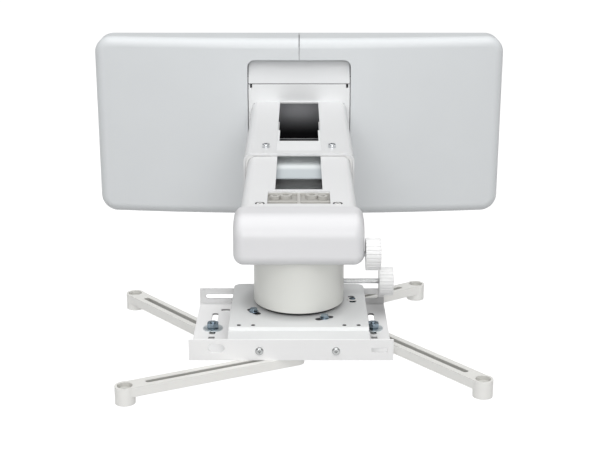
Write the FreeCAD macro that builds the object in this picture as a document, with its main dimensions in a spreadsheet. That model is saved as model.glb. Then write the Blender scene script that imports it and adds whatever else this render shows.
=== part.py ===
"""Projector wall mount: wall plate with cover, telescoping arm, tilting neck and four-legged tray.

Millimetres. The wall is the plane y = 0 and the arm reaches out along -Y, +X is right and +Z is up.
Reaches are distances out from the wall, so a reach of r lies at y = -r.
"""
import FreeCAD, Part
import math
import os
import Sketcher

os.makedirs("parts", exist_ok=True)
doc = FreeCAD.newDocument("projector_wall_mount")
sheet = doc.addObject("Spreadsheet::Sheet", "Sizes")


SIZES = {
    # Cover
    "cover_width": 508,
    "cover_height": 225,
    "cover_rim": 34,
    "cover_bulge": 18,
    "cover_wall": 2.5,
    "cover_corner": 21,
    "cover_round": 12,
    "seam_gap": 0.4,
    "opening_width": 127,
    "opening_top": 86.5,
    "opening_bottom": -64,
    "opening_corner": 9,
    # Wall plate
    "plate_width": 452,
    "plate_thick": 3,
    "plate_lip": 16,
    "stud_spacing": 406.4,
    "bolt_rise": 101.6,
    "wall_hole": 9,
    "cable_hole": 70,
    "cable_drop": 70,
    # Apron and arm base channels
    "apron_width": 125,
    "apron_reach": 52,
    "apron_line": 57,
    "apron_step": 1.6,
    "apron_slope": 22,
    "notch": 4.5,
    "sheet_thick": 2,
    "base_foot": 26,
    "base_bolt": 6,
    "bolt_row": 45,
    # Rear sleeve
    "sleeve_width": 116,
    "sleeve_top": 35.5,
    "sleeve_bottom": -13.7,
    "sleeve_front": 313,
    "tube_wall": 2,
    "tube_round": 9,
    "sleeve_slot": 47,
    "slot_rear": 56,
    "slot_front": 301,
    "bridge_length": 45,
    "bridge_thick": 1.5,
    "bridge_gap": 0.8,
    "rail_length": 95,
    "rail_width": 2.3,
    "clamp_x": 35,
    "clamp_reach": 287,
    "clamp_size": 6,
    # Inner arm
    "arm_side_room": 2.5,
    "arm_top_room": 1.5,
    "arm_bottom_room": 2,
    "arm_rear": 150,
    "arm_ahead": 27,
    "slide_play": 0.1,
    "bush_play": 0.15,
    "pad_length": 30,
    "pad_width": 22,
    "arm_window": 45,
    "window_behind": 52.5,
    "deck_behind": 127,
    "deck_length": 105,
    # End cap
    "cap_side": 4.8,
    "cap_ahead": 48,
    "cap_length": 38,
    "cap_round": 20,
    "cap_side_round": 9.5,
    "cap_under_round": 10,
    "cap_wall": 1.8,
    # Neck and tilt axes
    "neck_reach": 490,
    "neck_width": 83,
    "neck_wall": 3,
    "neck_top": -9.2,
    "neck_bottom": -57.5,
    "neck_play": 2.2,
    "tilt_height": 12,
    "pin_width": 8,
    "pin_play": 0.05,
    # Pivot bracket
    "bracket_behind": 47,
    "bracket_edge_behind": 5,
    "bracket_half": 29,
    "bracket_wide": 44,
    "bracket_thick": 5,
    "boss_x": 12.3,
    "boss_width": 12,
    "boss_behind": 38,
    "outer_boss_x": 22.3,
    "outer_boss_width": 9,
    "outer_boss_behind": 34,
    "pocket_depth": 2.5,
    "cross_rib_behind": 19,
    "end_slot": 5,
    "end_slot_x": 26.4,
    "end_slot_rear": 23.5,
    "end_slot_front": 12.5,
    "boss_rise": 1.2,
    "rib_thick": 3,
    "lug_thick": 6,
    "lug_width": 18,
    "lug_gap": 40,
    "bracket_screw_x": 35.6,
    "bracket_screw_behind": 6.3,
    "bracket_screw": 6.6,
    "bracket_screw_gap": 1.2,
    # Hanger and yoke
    "hanger_width": 26,
    "hanger_height": 20,
    "side_play": 0.3,
    "ear_thick": 7,
    "ear_width": 20,
    "lever_x": 8,
    "lever_width": 10,
    "lever_low": -4.4,
    "lever_thick": 4.4,
    "fork_height": 9,
    "fork_length": 12,
    "yoke_thick": 4.5,
    "ring_wide": 38,
    "ring_inner": 30,
    # Adjuster knobs and screws
    "roll_ahead": 38,
    "roll_height": -1.9,
    "knob_width": 29.4,
    "knob_thick": 13.4,
    "knob_gap": 1,
    "nut_room": 2.5,
    "screw_width": 5,
    "screw_play": 1.6,
    "rib_cut": 1.1,
    # Sled and swivel
    "sled_top": -60.5,
    "sled_thick": 2.5,
    "sled_half": 62,
    "sled_behind": 45,
    "bend_ahead": 66,
    "sled_ahead": 90.6,
    "sled_corner": 8,
    "sled_drop": 2.5,
    "lip_low": -77,
    "spindle_width": 16,
    "disc_half": 57,
    "disc_thick": 4,
    "arc_half": 50,
    "arc_width": 6.5,
    "arc_angle": 13,
    "swivel_left": -55,
    "swivel_front": 27.5,
    "swivel_right": 94,
    "disc_flat": 30,
    "bolt_width": 5,
    "bolt_head": 8,
    "bolt_head_height": 3.5,
    "washer_width": 10,
    "washer_thick": 1,
    # Yaw adjuster
    "yaw_behind": 22,
    "yaw_height": -49.2,
    "yaw_knob_width": 27.2,
    "yaw_knob_x": 75.4,
    "yaw_nut_size": 12,
    "yaw_travel": 3,
    "post_width": 8,
    "spindle_nut": 24,
    "spindle_nut_height": 6,
    # Tray
    "tray_centre": -6.6,
    "tray_width": 177,
    "tray_floor": -78.5,
    "tray_thick": 2,
    "tray_ahead": 93,
    "tray_behind": 41,
    "front_flange_top": -61.4,
    "rear_flange_top": -63.5,
    "rear_slot_low": -73.6,
    "rear_slot_high": -69.1,
    "rear_slot_length": 166,
    "front_screw_half": 33.1,
    "front_screw_height": -71.6,
    "front_screw": 7,
    "front_screw_centre": -0.9,
    "lip_slot_length": 36,
    "lip_slot_width": 4.6,
    "guide_x": 37,
    "tab_width": 14,
    "slot_pin": 4,
    "tag_width": 14,
    "tag_height": 7.8,
    "tag_low": -73,
    "tag_left": 64.7,
    "tag_right": 76.4,
    "clamp_centre": -5.35,
    "side_slot_half": 73.25,
    "side_slot_behind": 14,
    "side_slot_ahead": 39,
    # Leg clamps
    "clamp_bolt": 5,
    "clamp_slot": 5.6,
    "clamp_washer": 18,
    "clamp_nut": 10,
    "clamp_nut_height": 5,
    # Legs
    "leg_top": -80.5,
    "leg_thick": 8.5,
    "leg_width": 16,
    "leg_slot": 5.6,
    "leg_length": 156,
    "leg_slot_start": 2,
    "leg_slot_end": 138,
    "leg_groove": 11,
    "leg_groove_depth": 4.2,
    "foot_width": 17.2,
    "foot_height": 15.5,
    "foot_bore": 6.4,
    "foot_recess": 13,
    "foot_recess_depth": 4,
    # Where each leg is clamped, its direction in degrees and its foot's distance from the bolt
    "outer_bolt_ahead": 25,
    "left_bolt_x": -10,
    "left_bolt_ahead": 80.5,
    "right_bolt_x": 0,
    "right_bolt_behind": 22,
    "left_front_turn": 205.4,
    "left_front_out": 148.3,
    "right_front_turn": -50.75,
    "right_front_out": 136.9,
    "left_rear_turn": 130.3,
    "left_rear_out": 129.1,
    "right_rear_turn": 33.5,
    "right_rear_out": 141.4,
}


class Size:
    """A number together with the formula that ties it to the sheet."""

    def __init__(self, value, text):
        self.value = value
        self.text = text

    def joined(self, other, sign, value, swap=False):
        first, second = (size(other), self) if swap else (self, size(other))
        return Size(value(first.value, second.value), f"({first.text} {sign} {second.text})")

    def __add__(self, other):
        return self.joined(other, "+", lambda a, b: a + b)

    def __radd__(self, other):
        return self.joined(other, "+", lambda a, b: a + b, True)

    def __sub__(self, other):
        return self.joined(other, "-", lambda a, b: a - b)

    def __rsub__(self, other):
        return self.joined(other, "-", lambda a, b: a - b, True)

    def __mul__(self, other):
        return self.joined(other, "*", lambda a, b: a * b)

    def __rmul__(self, other):
        return self.joined(other, "*", lambda a, b: a * b, True)

    def __truediv__(self, other):
        return self.joined(other, "/", lambda a, b: a / b)

    def __neg__(self):
        return 0 - self


def size(value):
    return value if isinstance(value, Size) else Size(value, repr(value))


def cosine(turn):
    return Size(math.cos(math.radians(turn.value)), f"cos({turn.text} * 1 deg)")


def sine(turn):
    return Size(math.sin(math.radians(turn.value)), f"sin({turn.text} * 1 deg)")


class Sizes:
    """The sheet's rows, one driving dimension each, reached by name."""

    def __init__(self, rows):
        for row, (name, value) in enumerate(rows.items(), start=1):
            sheet.set(f"A{row}", name)
            sheet.set(f"B{row}", str(value))
            sheet.setAlias(f"B{row}", name)
            setattr(self, name, Size(value, f"Sizes.{name}"))


P = Sizes(SIZES)

# The arm's section, taken from the sleeve that it slides in.
arm_width = P.sleeve_width - 2 * (P.tube_wall + P.arm_side_room)
arm_top = P.sleeve_top - P.tube_wall - P.arm_top_room
arm_bottom = P.sleeve_bottom + P.tube_wall + P.arm_bottom_room

# Reaches at the head, all taken from the neck's axis.
arm_front = P.neck_reach + P.arm_ahead
cap_front = P.neck_reach + P.cap_ahead
window_front = P.neck_reach - P.window_behind
deck_front = P.neck_reach - P.deck_behind
bracket_rear = P.neck_reach - P.bracket_behind
bracket_front = P.neck_reach - P.bracket_edge_behind
roll_reach = P.neck_reach + P.roll_ahead
yaw_reach = P.neck_reach - P.yaw_behind
sled_rear = P.neck_reach - P.sled_behind
sled_bend = P.neck_reach + P.bend_ahead
sled_front = P.neck_reach + P.sled_ahead
tray_front = P.neck_reach + P.tray_ahead
tray_rear = P.neck_reach - P.tray_behind
side_slot_rear = P.neck_reach - P.side_slot_behind
side_slot_front = P.neck_reach + P.side_slot_ahead
outer_bolt_reach = P.neck_reach + P.outer_bolt_ahead
left_bolt_reach = P.neck_reach + P.left_bolt_ahead
right_bolt_reach = P.neck_reach - P.right_bolt_behind
cap_width = arm_width + 2 * P.cap_side


def bind(thing, name, value):
    """Set a property to a size and keep it tied to the sheet."""
    value = size(value)
    if "." not in name:
        setattr(thing, name, value.value)
    thing.setExpression(name, value.text)


def place(thing, x=0, y=0, z=0, turn=None, axis=(0, 0, 1)):
    """Put a thing at a point, turned about an axis by an angle in degrees."""
    point = [size(v) for v in (x, y, z)]
    angle = size(turn or 0)
    rotation = FreeCAD.Rotation(FreeCAD.Vector(*axis), angle.value)
    thing.Placement = FreeCAD.Placement(FreeCAD.Vector(*[v.value for v in point]), rotation)
    for letter, value in zip("xyz", point):
        thing.setExpression(f"Placement.Base.{letter}", value.text)
    if turn is not None:
        thing.setExpression("Placement.Rotation.Angle", f"{angle.text} * 1 deg")
    return thing


def box(low, high):
    """Block between two corners."""
    thing = doc.addObject("Part::Box", "block")
    for name, a, b in zip(("Length", "Width", "Height"), low, high):
        bind(thing, name, size(b) - a)
    return place(thing, *low)


ALONG = {"x": ((0, 1, 0), 90), "y": ((1, 0, 0), -90), "z": ((0, 0, 1), 0)}


def rod(radius, point, length, along="z", sides=0):
    """Round rod, or hexagonal with sides=6, from a point along +x, +y or +z."""
    thing = doc.addObject("Part::Prism" if sides else "Part::Cylinder", "rod")
    if sides:
        thing.Polygon = sides
        bind(thing, "Circumradius", radius)
    else:
        bind(thing, "Radius", radius)
    bind(thing, "Height", length)
    axis, turn = ALONG[along]
    return place(thing, *point, turn, axis)


def join(*things):
    thing = doc.addObject("Part::MultiFuse", "joined")
    thing.Shapes = list(things)
    return thing


def group(*things):
    """Separate solids of one node, such as a set of screws."""
    thing = doc.addObject("Part::Compound", "set")
    thing.Links = list(things)
    return thing


def cut(base, *tools):
    thing = doc.addObject("Part::Cut", "cut")
    thing.Base = base
    thing.Tool = tools[0] if len(tools) == 1 else join(*tools)
    return thing


def long_hole(centre, width, length, low, high, along="x", through="z"):
    """Round-ended slot: centre in the two axes across the hole, ends at low and high through the sheet."""
    straight = size(length) - width
    across = [letter for letter in "xyz" if letter != through]
    run = across.index(along)
    ends = []
    corner_low = []
    corner_high = []
    for sign in (-1, 1):
        point = {across[0]: size(centre[0]), across[1]: size(centre[1]), through: size(low)}
        point[along] = point[along] + sign * straight / 2
        ends.append(rod(size(width) / 2, [point[k] for k in "xyz"], size(high) - low, through))
    for letter in "xyz":
        if letter == through:
            corner_low.append(size(low))
            corner_high.append(size(high))
            continue
        middle = size(centre[across.index(letter)])
        half = straight / 2 if across.index(letter) == run else size(width) / 2
        corner_low.append(middle - half)
        corner_high.append(middle + half)
    return join(box(corner_low, corner_high), *ends)


def new_body(label):
    thing = doc.addObject("PartDesign::Body", label)
    thing.Label = label
    return thing


def sketch(body, role, offset=0):
    """Sketch on one of the body's own origin planes, moved along the plane's normal."""
    drawn = body.newObject("Sketcher::SketchObject", "sketch")
    datum = [f for f in body.Origin.OriginFeatures if f.Role == role][0]
    drawn.AttachmentSupport = [(datum, "")]
    drawn.MapMode = "FlatFace"
    offset = size(offset)
    drawn.AttachmentOffset = FreeCAD.Placement(FreeCAD.Vector(0, 0, offset.value), FreeCAD.Rotation())
    drawn.setExpression("AttachmentOffset.Base.z", offset.text)
    return drawn


def fix_point(drawn, index, end, point):
    """Hold a sketch point at its place, on an axis or by a dimension tied to the sheet."""
    for kind, axis, value in (("DistanceX", -2, point[0]), ("DistanceY", -1, point[1])):
        value = size(value)
        if value.text == "0":
            drawn.addConstraint(Sketcher.Constraint("PointOnObject", index, end, axis))
            continue
        number = drawn.addConstraint(Sketcher.Constraint(kind, -1, 1, index, end, value.value))
        drawn.setExpression(f"Constraints[{number}]", value.text)


def outline(drawn, points):
    """Closed polygon through points."""
    flat = [FreeCAD.Vector(size(x).value, size(y).value, 0) for x, y in points]
    first = drawn.GeometryCount
    for a, b in zip(flat, flat[1:] + flat[:1]):
        drawn.addGeometry(Part.LineSegment(a, b), False)
    count = len(points)
    for i in range(count):
        drawn.addConstraint(Sketcher.Constraint("Coincident", first + i, 2, first + (i + 1) % count, 1))
    for i, point in enumerate(points):
        fix_point(drawn, first + i, 1, point)


def rectangle(drawn, low, high):
    outline(drawn, [low, (high[0], low[1]), high, (low[0], high[1])])


def circle(drawn, centre, radius):
    radius = size(radius)
    middle = FreeCAD.Vector(size(centre[0]).value, size(centre[1]).value, 0)
    index = drawn.addGeometry(Part.Circle(middle, FreeCAD.Vector(0, 0, 1), radius.value), False)
    number = drawn.addConstraint(Sketcher.Constraint("Radius", index, radius.value))
    drawn.setExpression(f"Constraints[{number}]", radius.text)
    fix_point(drawn, index, 3, centre)


def pad(body, drawn, length):
    thing = body.newObject("PartDesign::Pad", "pad")
    thing.Profile = drawn
    bind(thing, "Length", length)
    return thing


def pocket(body, drawn, length, reverse=False):
    """Cut a profile out of the body and make sure that it removed something."""
    doc.recompute()
    before = body.Shape.Volume
    thing = body.newObject("PartDesign::Pocket", "pocket")
    thing.Profile = drawn
    thing.Reversed = reverse
    bind(thing, "Length", length)
    doc.recompute()
    if body.Shape.Volume > before - 1:
        raise ValueError(f"a pocket in {body.Label} cuts nothing")
    return thing


def revolve(body, drawn):
    thing = body.newObject("PartDesign::Revolution", "revolution")
    thing.Profile = drawn
    thing.ReferenceAxis = (drawn, ["V_Axis"])
    thing.Angle = 360
    return thing


def fillet(body, radius, wanted):
    """Round the edges of the body whose middle point passes the test."""
    doc.recompute()
    base = body.Tip
    names = []
    for number, edge in enumerate(base.Shape.Edges, start=1):
        middle = edge.valueAt((edge.FirstParameter + edge.LastParameter) / 2)
        if wanted(edge, middle):
            names.append(f"Edge{number}")
    if not names:
        raise ValueError(f"no edge to round in {body.Label}")
    thing = body.newObject("PartDesign::Fillet", "fillet")
    thing.Base = (base, names)
    bind(thing, "Radius", radius)
    return thing


def near(value, wanted, reach=0.05):
    return abs(value - size(wanted).value) < reach


def runs_along(edge, letter):
    """True where a straight edge lies along an axis."""
    span = edge.BoundBox
    lengths = {"x": span.XLength, "y": span.YLength, "z": span.ZLength}
    return lengths[letter] > 0.1 and all(v < 0.01 for k, v in lengths.items() if k != letter)


nodes = []


def node(label, thing):
    """Name a finished piece, which becomes a file of that name."""
    thing.Label = label
    nodes.append(thing)
    return thing


def hollow(body, wall, is_open):
    """Turn a solid body into a shell inside its own outline, open at the faces that pass the test."""
    doc.recompute()
    base = body.Tip
    names = []
    for number, face in enumerate(base.Shape.Faces, start=1):
        if is_open(face.CenterOfMass, face.BoundBox):
            names.append(f"Face{number}")
    thing = body.newObject("PartDesign::Thickness", "shell")
    thing.Base = (base, names)
    thing.Reversed = True
    thing.Join = 0
    bind(thing, "Value", wall)
    doc.recompute()
    if body.Shape.BoundBox.DiagonalLength > base.Shape.BoundBox.DiagonalLength + 0.01:
        raise ValueError(f"the shell of {body.Label} grew outwards")


# Wall plate: folded steel with lips along its top and bottom edges and holes on the stud spacing.
base_front = P.apron_reach + P.apron_step
foot_x = P.apron_width / 2 + P.base_foot / 2
bolt_rows = (-P.bolt_row, P.bolt_row / 2)
apron_bolt = P.apron_line + P.base_foot / 2
bolt_points = [(side * foot_x, z) for side in (-1, 1) for z in (*bolt_rows, apron_bolt)]

plate = new_body("wall_plate_sheet")
half_high = P.cover_height / 2 - P.cover_wall - P.slide_play
profile = sketch(plate, "YZ_Plane", -P.plate_width / 2)
outline(profile, [
    (0, -half_high), (0, half_high), (-P.plate_lip, half_high), (-P.plate_lip, half_high - P.plate_thick),
    (-P.plate_thick, half_high - P.plate_thick), (-P.plate_thick, P.plate_thick - half_high),
    (-P.plate_lip, P.plate_thick - half_high), (-P.plate_lip, -half_high),
])
pad(plate, profile, P.plate_width)
through = P.plate_thick + 2
holes = []
for side in (-1, 1):
    for rise in (-1, 1):
        point = (side * P.stud_spacing / 2, -P.plate_thick - 1, rise * P.bolt_rise / 2)
        holes.append(rod(P.wall_hole / 2, point, through, "y"))
for x, z in bolt_points:
    holes.append(rod(P.base_bolt / 2 + P.slide_play, (x, -P.plate_thick - 1, z), through, "y"))
holes.append(rod(P.cable_hole / 2, (0, -P.plate_thick - 1, -P.cable_drop), through, "y"))
node("wall_plate", cut(plate, *holes))


def cover_half():
    """Left half of the moulded cover: a shallow bulged tray, open at the wall and at the middle seam."""
    body = new_body("cover_shell")
    left = -P.cover_width / 2
    seam = -P.seam_gap / 2
    bend = P.cover_width * P.cover_width / (8 * P.cover_bulge) + P.cover_bulge / 2
    front = P.cover_rim + P.cover_bulge
    drawn = sketch(body, "XY_Plane", -P.cover_height / 2)
    corner = FreeCAD.Vector(left.value, -P.cover_rim.value, 0)
    drop = bend.value - math.sqrt(bend.value ** 2 - seam.value ** 2)
    middle = FreeCAD.Vector(seam.value, drop - front.value, 0)
    centre = FreeCAD.Vector(0, bend.value - front.value, 0)
    wall_left = FreeCAD.Vector(left.value, 0, 0)
    wall_seam = FreeCAD.Vector(seam.value, 0, 0)
    for a, b in ((corner, wall_left), (wall_left, wall_seam), (wall_seam, middle)):
        drawn.addGeometry(Part.LineSegment(a, b), False)
    turns = [math.atan2(point.y - centre.y, point.x - centre.x) for point in (corner, middle)]
    face = Part.Circle(centre, FreeCAD.Vector(0, 0, 1), bend.value)
    drawn.addGeometry(Part.ArcOfCircle(face, turns[0], turns[1]), False)
    for pair in ((0, 2, 1, 1), (1, 2, 2, 1), (2, 2, 3, 2), (3, 1, 0, 1)):
        drawn.addConstraint(Sketcher.Constraint("Coincident", *pair))
    fix_point(drawn, 0, 1, (left, -P.cover_rim))
    fix_point(drawn, 1, 1, (left, 0))
    fix_point(drawn, 2, 1, (seam, 0))
    drawn.addConstraint(Sketcher.Constraint("Vertical", 2))
    drawn.addConstraint(Sketcher.Constraint("PointOnObject", 3, 3, -2))
    number = drawn.addConstraint(Sketcher.Constraint("Radius", 3, bend.value))
    drawn.setExpression(f"Constraints[{number}]", bend.text)
    pad(body, drawn, P.cover_height)
    fillet(body, P.cover_corner, lambda e, m: runs_along(e, "y") and near(m.x, left))
    fillet(body, P.cover_round, lambda e, m: m.y < 0.01 - P.cover_rim.value and not near(m.x, seam))
    hollow(body, P.cover_wall, lambda c, b: near(c.y, 0) or near(b.XMin, seam))
    window = new_body("cover_opening")
    drawn = sketch(window, "XZ_Plane", 1)
    rectangle(drawn, (-P.opening_width / 2, P.opening_bottom), (P.opening_width / 2, P.opening_top))
    pad(window, drawn, front)
    fillet(window, P.opening_corner, lambda e, m: runs_along(e, "y") and m.z > 0)
    return cut(body, window)


left_cover = node("cover_left", cover_half())
right_cover = doc.addObject("Part::Mirroring", "mirrored")
right_cover.Source = left_cover
right_cover.Normal = FreeCAD.Vector(1, 0, 0)
node("cover_right", right_cover)


def hat_channel(name, front, low, high):
    """Folded channel that stands on the wall plate on two outward feet."""
    body = new_body(name)
    half = P.apron_width / 2
    foot = half + P.base_foot
    sheet_in = P.sheet_thick
    back = -P.plate_thick
    drawn = sketch(body, "XY_Plane", low)
    outline(drawn, [
        (-foot, back), (-foot, back - sheet_in), (-half, back - sheet_in), (-half, -front), (half, -front),
        (half, back - sheet_in), (foot, back - sheet_in), (foot, back), (half - sheet_in, back),
        (half - sheet_in, sheet_in - front), (sheet_in - half, sheet_in - front), (sheet_in - half, back),
    ])
    pad(body, drawn, high - low)
    return body


# Upper apron and arm base: two folded channels in the cover's opening, bolted to the plate.
foot_drill = P.sheet_thick + 2
foot_face = P.plate_thick + P.sheet_thick


def foot_holes(points):
    radius = P.base_bolt / 2 + P.slide_play
    return [rod(radius, (x, -foot_face - 1, z), foot_drill, "y") for x, z in points]


apron_low = P.apron_line + P.slide_play
apron_high = half_high - P.plate_thick
apron = hat_channel("upper_apron_sheet", P.apron_reach, apron_low, apron_high)
slope_back = P.apron_slope - P.apron_reach
slope = new_body("apron_slope_sheet")
drawn = sketch(slope, "YZ_Plane", -P.apron_width / 2)
outline(drawn, [
    (-P.apron_reach, apron_low), (slope_back, apron_high),
    (slope_back + P.sheet_thick, apron_high), (P.sheet_thick - P.apron_reach, apron_low),
])
pad(slope, drawn, P.apron_width)
front_space = new_body("apron_front_space")
drawn = sketch(front_space, "YZ_Plane", -P.apron_width)
outline(drawn, [
    (-P.apron_reach, apron_low), (slope_back, apron_high),
    (-2 * P.apron_reach, apron_high), (-2 * P.apron_reach, apron_low),
])
pad(front_space, drawn, 2 * P.apron_width)
apron_holes = foot_holes([p for p in bolt_points if p[1] is apron_bolt])
node("upper_apron", join(cut(apron, front_space, *apron_holes), slope))

inner_half = P.sleeve_width / 2 - P.tube_wall
base = hat_channel("arm_base_sheet", base_front, P.opening_bottom + P.slide_play, P.apron_line)
mouth = box((-inner_half, -base_front - 1, P.sleeve_bottom + P.tube_wall),
            (inner_half, P.sheet_thick - base_front + 1, P.sleeve_top - P.tube_wall))
base_holes = foot_holes([p for p in bolt_points if p[1] is not apron_bolt])
notches = []
for side in (-1, 1):
    edges = sorted((side * P.apron_width / 2, side * (P.apron_width / 2 - P.notch)), key=lambda v: v.value)
    notches.append(box((edges[0] - P.slide_play, -base_front - 1, P.apron_line - P.notch),
                       (edges[1] + P.slide_play, P.sheet_thick - base_front + 1, P.apron_line + 1)))
node("arm_base", cut(base, mouth, *base_holes, *notches))

bolts = []
for x, z in bolt_points:
    head = rod(P.base_bolt * 0.92, (x, -foot_face - P.base_bolt * 0.66, z), P.base_bolt * 0.66, "y", 6)
    shank = rod(P.base_bolt / 2, (x, -foot_face, z), foot_face - 0.5, "y")
    bolts.append(join(head, shank))
node("base_bolts", group(*bolts))


def tube(name, width, low, high, rear, front):
    """Rectangular tube with rounded long edges, open at both ends, between two reaches."""
    body = new_body(name)
    drawn = sketch(body, "XZ_Plane", rear)
    rectangle(drawn, (-width / 2, low), (width / 2, high))
    pad(body, drawn, front - rear)
    fillet(body, P.tube_round, lambda e, m: runs_along(e, "y"))
    hollow(body, P.tube_wall, lambda c, b: b.YLength < 0.01)
    return body


# Rear sleeve: outer tube on the arm base, slotted on top for cables, with a bridge plate over the slot.
sleeve = tube("sleeve_tube", P.sleeve_width, P.sleeve_bottom, P.sleeve_top, base_front, P.sleeve_front)
slot_half = P.sleeve_slot / 2
under_top = P.sleeve_top - P.tube_wall - 1
sleeve_window = box((-slot_half, -P.slot_front, under_top), (slot_half, -P.slot_rear, P.sleeve_top + 1))
clamp_points = [(side * P.clamp_x, -P.clamp_reach) for side in (-1, 1)]
clamp_holes = [rod(P.clamp_size / 2, (x, y, under_top), P.tube_wall + 2) for x, y in clamp_points]
node("rear_sleeve", cut(sleeve, sleeve_window, *clamp_holes))

bridge_rear = -P.slot_front + P.bridge_length
bridge_low = P.sleeve_top - P.tube_wall
bridge_high = bridge_low + P.bridge_thick
bridge_front = P.bridge_gap - P.slot_front
bridge_plate = box((-slot_half, bridge_front, bridge_low), (slot_half, bridge_rear, bridge_high))
rails = []
for side in (-1, 1):
    edges = sorted((side * slot_half, side * (slot_half - P.rail_width)), key=lambda v: v.value)
    rail_rear = -P.slot_front + P.rail_length
    rails.append(box((edges[0], bridge_rear, bridge_low), (edges[1], rail_rear, bridge_high)))
node("cable_bridge", join(bridge_plate, *rails))

clamp_tip = arm_top + P.slide_play
screws = []
for x, y in clamp_points:
    stem = rod(P.clamp_size / 2, (x, y, clamp_tip), P.sleeve_top - clamp_tip)
    collar = rod(P.clamp_size * 0.68, (x, y, P.sleeve_top), P.clamp_size * 0.7)
    socket = rod(P.clamp_size / 3, (x, y, P.sleeve_top + P.clamp_size * 0.3), P.clamp_size, "z", 6)
    screws.append(cut(join(stem, collar), socket))
node("clamp_screws", group(*screws))


def side_pads(reach, gap_in, gap_out):
    """Four low-friction pads that fill the space between the two tubes, less their play."""
    arm_half = arm_width / 2
    middle = (arm_top + arm_bottom) / 2
    rear = -reach
    front = -reach - P.pad_length
    half = P.pad_width / 2
    floor_out = P.sleeve_bottom + P.tube_wall
    pads = []
    for side in (-1, 1):
        edges = sorted((side * (arm_half + gap_in), side * (inner_half - gap_out)), key=lambda v: v.value)
        pads.append(box((edges[0], front, middle - half), (edges[1], rear, middle + half)))
        across = sorted((side * (P.clamp_x - half), side * (P.clamp_x + half / 2)), key=lambda v: v.value)
        pads.append(box((across[0], front, floor_out + gap_out), (across[1], rear, arm_bottom - gap_in)))
    return group(*pads)


def rounded_bar(name, half, low, high, radius, rear, front):
    """Solid bar of the tubes' rounded section, between two reaches."""
    body = new_body(name)
    drawn = sketch(body, "XZ_Plane", rear)
    rectangle(drawn, (-half, low), (half, high))
    pad(body, drawn, front - rear)
    fillet(body, radius, lambda e, m: runs_along(e, "y"))
    return body


bush_front = P.sleeve_front - P.tube_wall / 2
bush_rear = bush_front - P.pad_length
bush = rounded_bar("bush_outside", inner_half, P.sleeve_bottom + P.tube_wall, P.sleeve_top - P.tube_wall,
                   P.tube_round - P.tube_wall, bush_rear, bush_front)
bush_way = rounded_bar("bush_inside", arm_width / 2 + P.bush_play, arm_bottom - P.bush_play,
                       arm_top + P.bush_play, P.tube_round + P.bush_play, bush_rear - 1, bush_front + 1)
bush_holes = [rod(P.clamp_size / 2, (x, y, arm_top), P.sleeve_top - arm_top) for x, y in clamp_points]
node("sleeve_pads", cut(bush, bush_way, *bush_holes))

# Inner arm: the tube that slides in the sleeve. Its cable window runs out at the rear end, and a second
# opening lies over the bracket.
top_cut = arm_top - P.tube_wall - 1
neck_y = -P.neck_reach
neck_hole = P.neck_width / 2 + P.neck_play
arm = tube("arm_tube", arm_width, arm_bottom, arm_top, P.arm_rear, arm_front)
bracket_screw_y = P.bracket_screw_behind - P.neck_reach
bracket_screw_points = [(side * P.bracket_screw_x, bracket_screw_y) for side in (-1, 1)]
arm_cuts = [
    box((-P.arm_window / 2, -window_front, top_cut), (P.arm_window / 2, 1 - P.arm_rear, arm_top + 1)),
    box((-P.bracket_half, -bracket_front, top_cut), (P.bracket_half, -bracket_rear, arm_top + 1)),
    rod(neck_hole, (0, neck_y, arm_bottom - 1), P.tube_wall + 2),
]
for x, y in bracket_screw_points:
    arm_cuts.append(rod(P.bracket_screw / 2 + P.bracket_screw_gap, (x, y, top_cut), P.tube_wall + 2))
node("inner_arm", cut(arm, *arm_cuts))
node("arm_pads", side_pads(P.arm_rear, 0, P.slide_play))

# Cable deck: a light sheet across the inside of the arm, below its window.
arm_inner = arm_width / 2 - P.tube_wall
deck_top = arm_top - P.tube_round
node("cable_deck", box((-arm_inner, -deck_front, deck_top - P.bridge_thick),
                       (arm_inner, P.deck_length - deck_front, deck_top)))

# End cap: moulded nose over the front of the arm, with the neck's hole in its underside.
cap = new_body("cap_shell")
cap_low = arm_bottom - P.cap_wall
cap_high = arm_top + P.cap_wall
cap_rear = cap_front - P.cap_length
drawn = sketch(cap, "YZ_Plane", -cap_width / 2)
rectangle(drawn, (-cap_front, cap_low), (-cap_rear, cap_high))
pad(cap, drawn, cap_width)
fillet(cap, P.cap_round, lambda e, m: runs_along(e, "x") and near(m.y, -cap_front) and near(m.z, cap_high))
fillet(cap, P.cap_under_round, lambda e, m: runs_along(e, "x") and near(m.y, -cap_front))
fillet(cap, P.cap_side_round, lambda e, m: near(abs(m.x), cap_width / 2) and m.y < -cap_rear.value - 0.1)
hollow(cap, P.cap_wall, lambda c, b: near(b.YMin, -cap_rear))
roll_y = -roll_reach
screw_hole = P.screw_width / 2 + P.pin_play
node("end_cap", cut(
    cap,
    rod(neck_hole, (0, neck_y, cap_low - 1), P.cap_under_round + 1),
    rod(screw_hole, (arm_inner, roll_y, P.roll_height), cap_width / 2, "x"),
))

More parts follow.
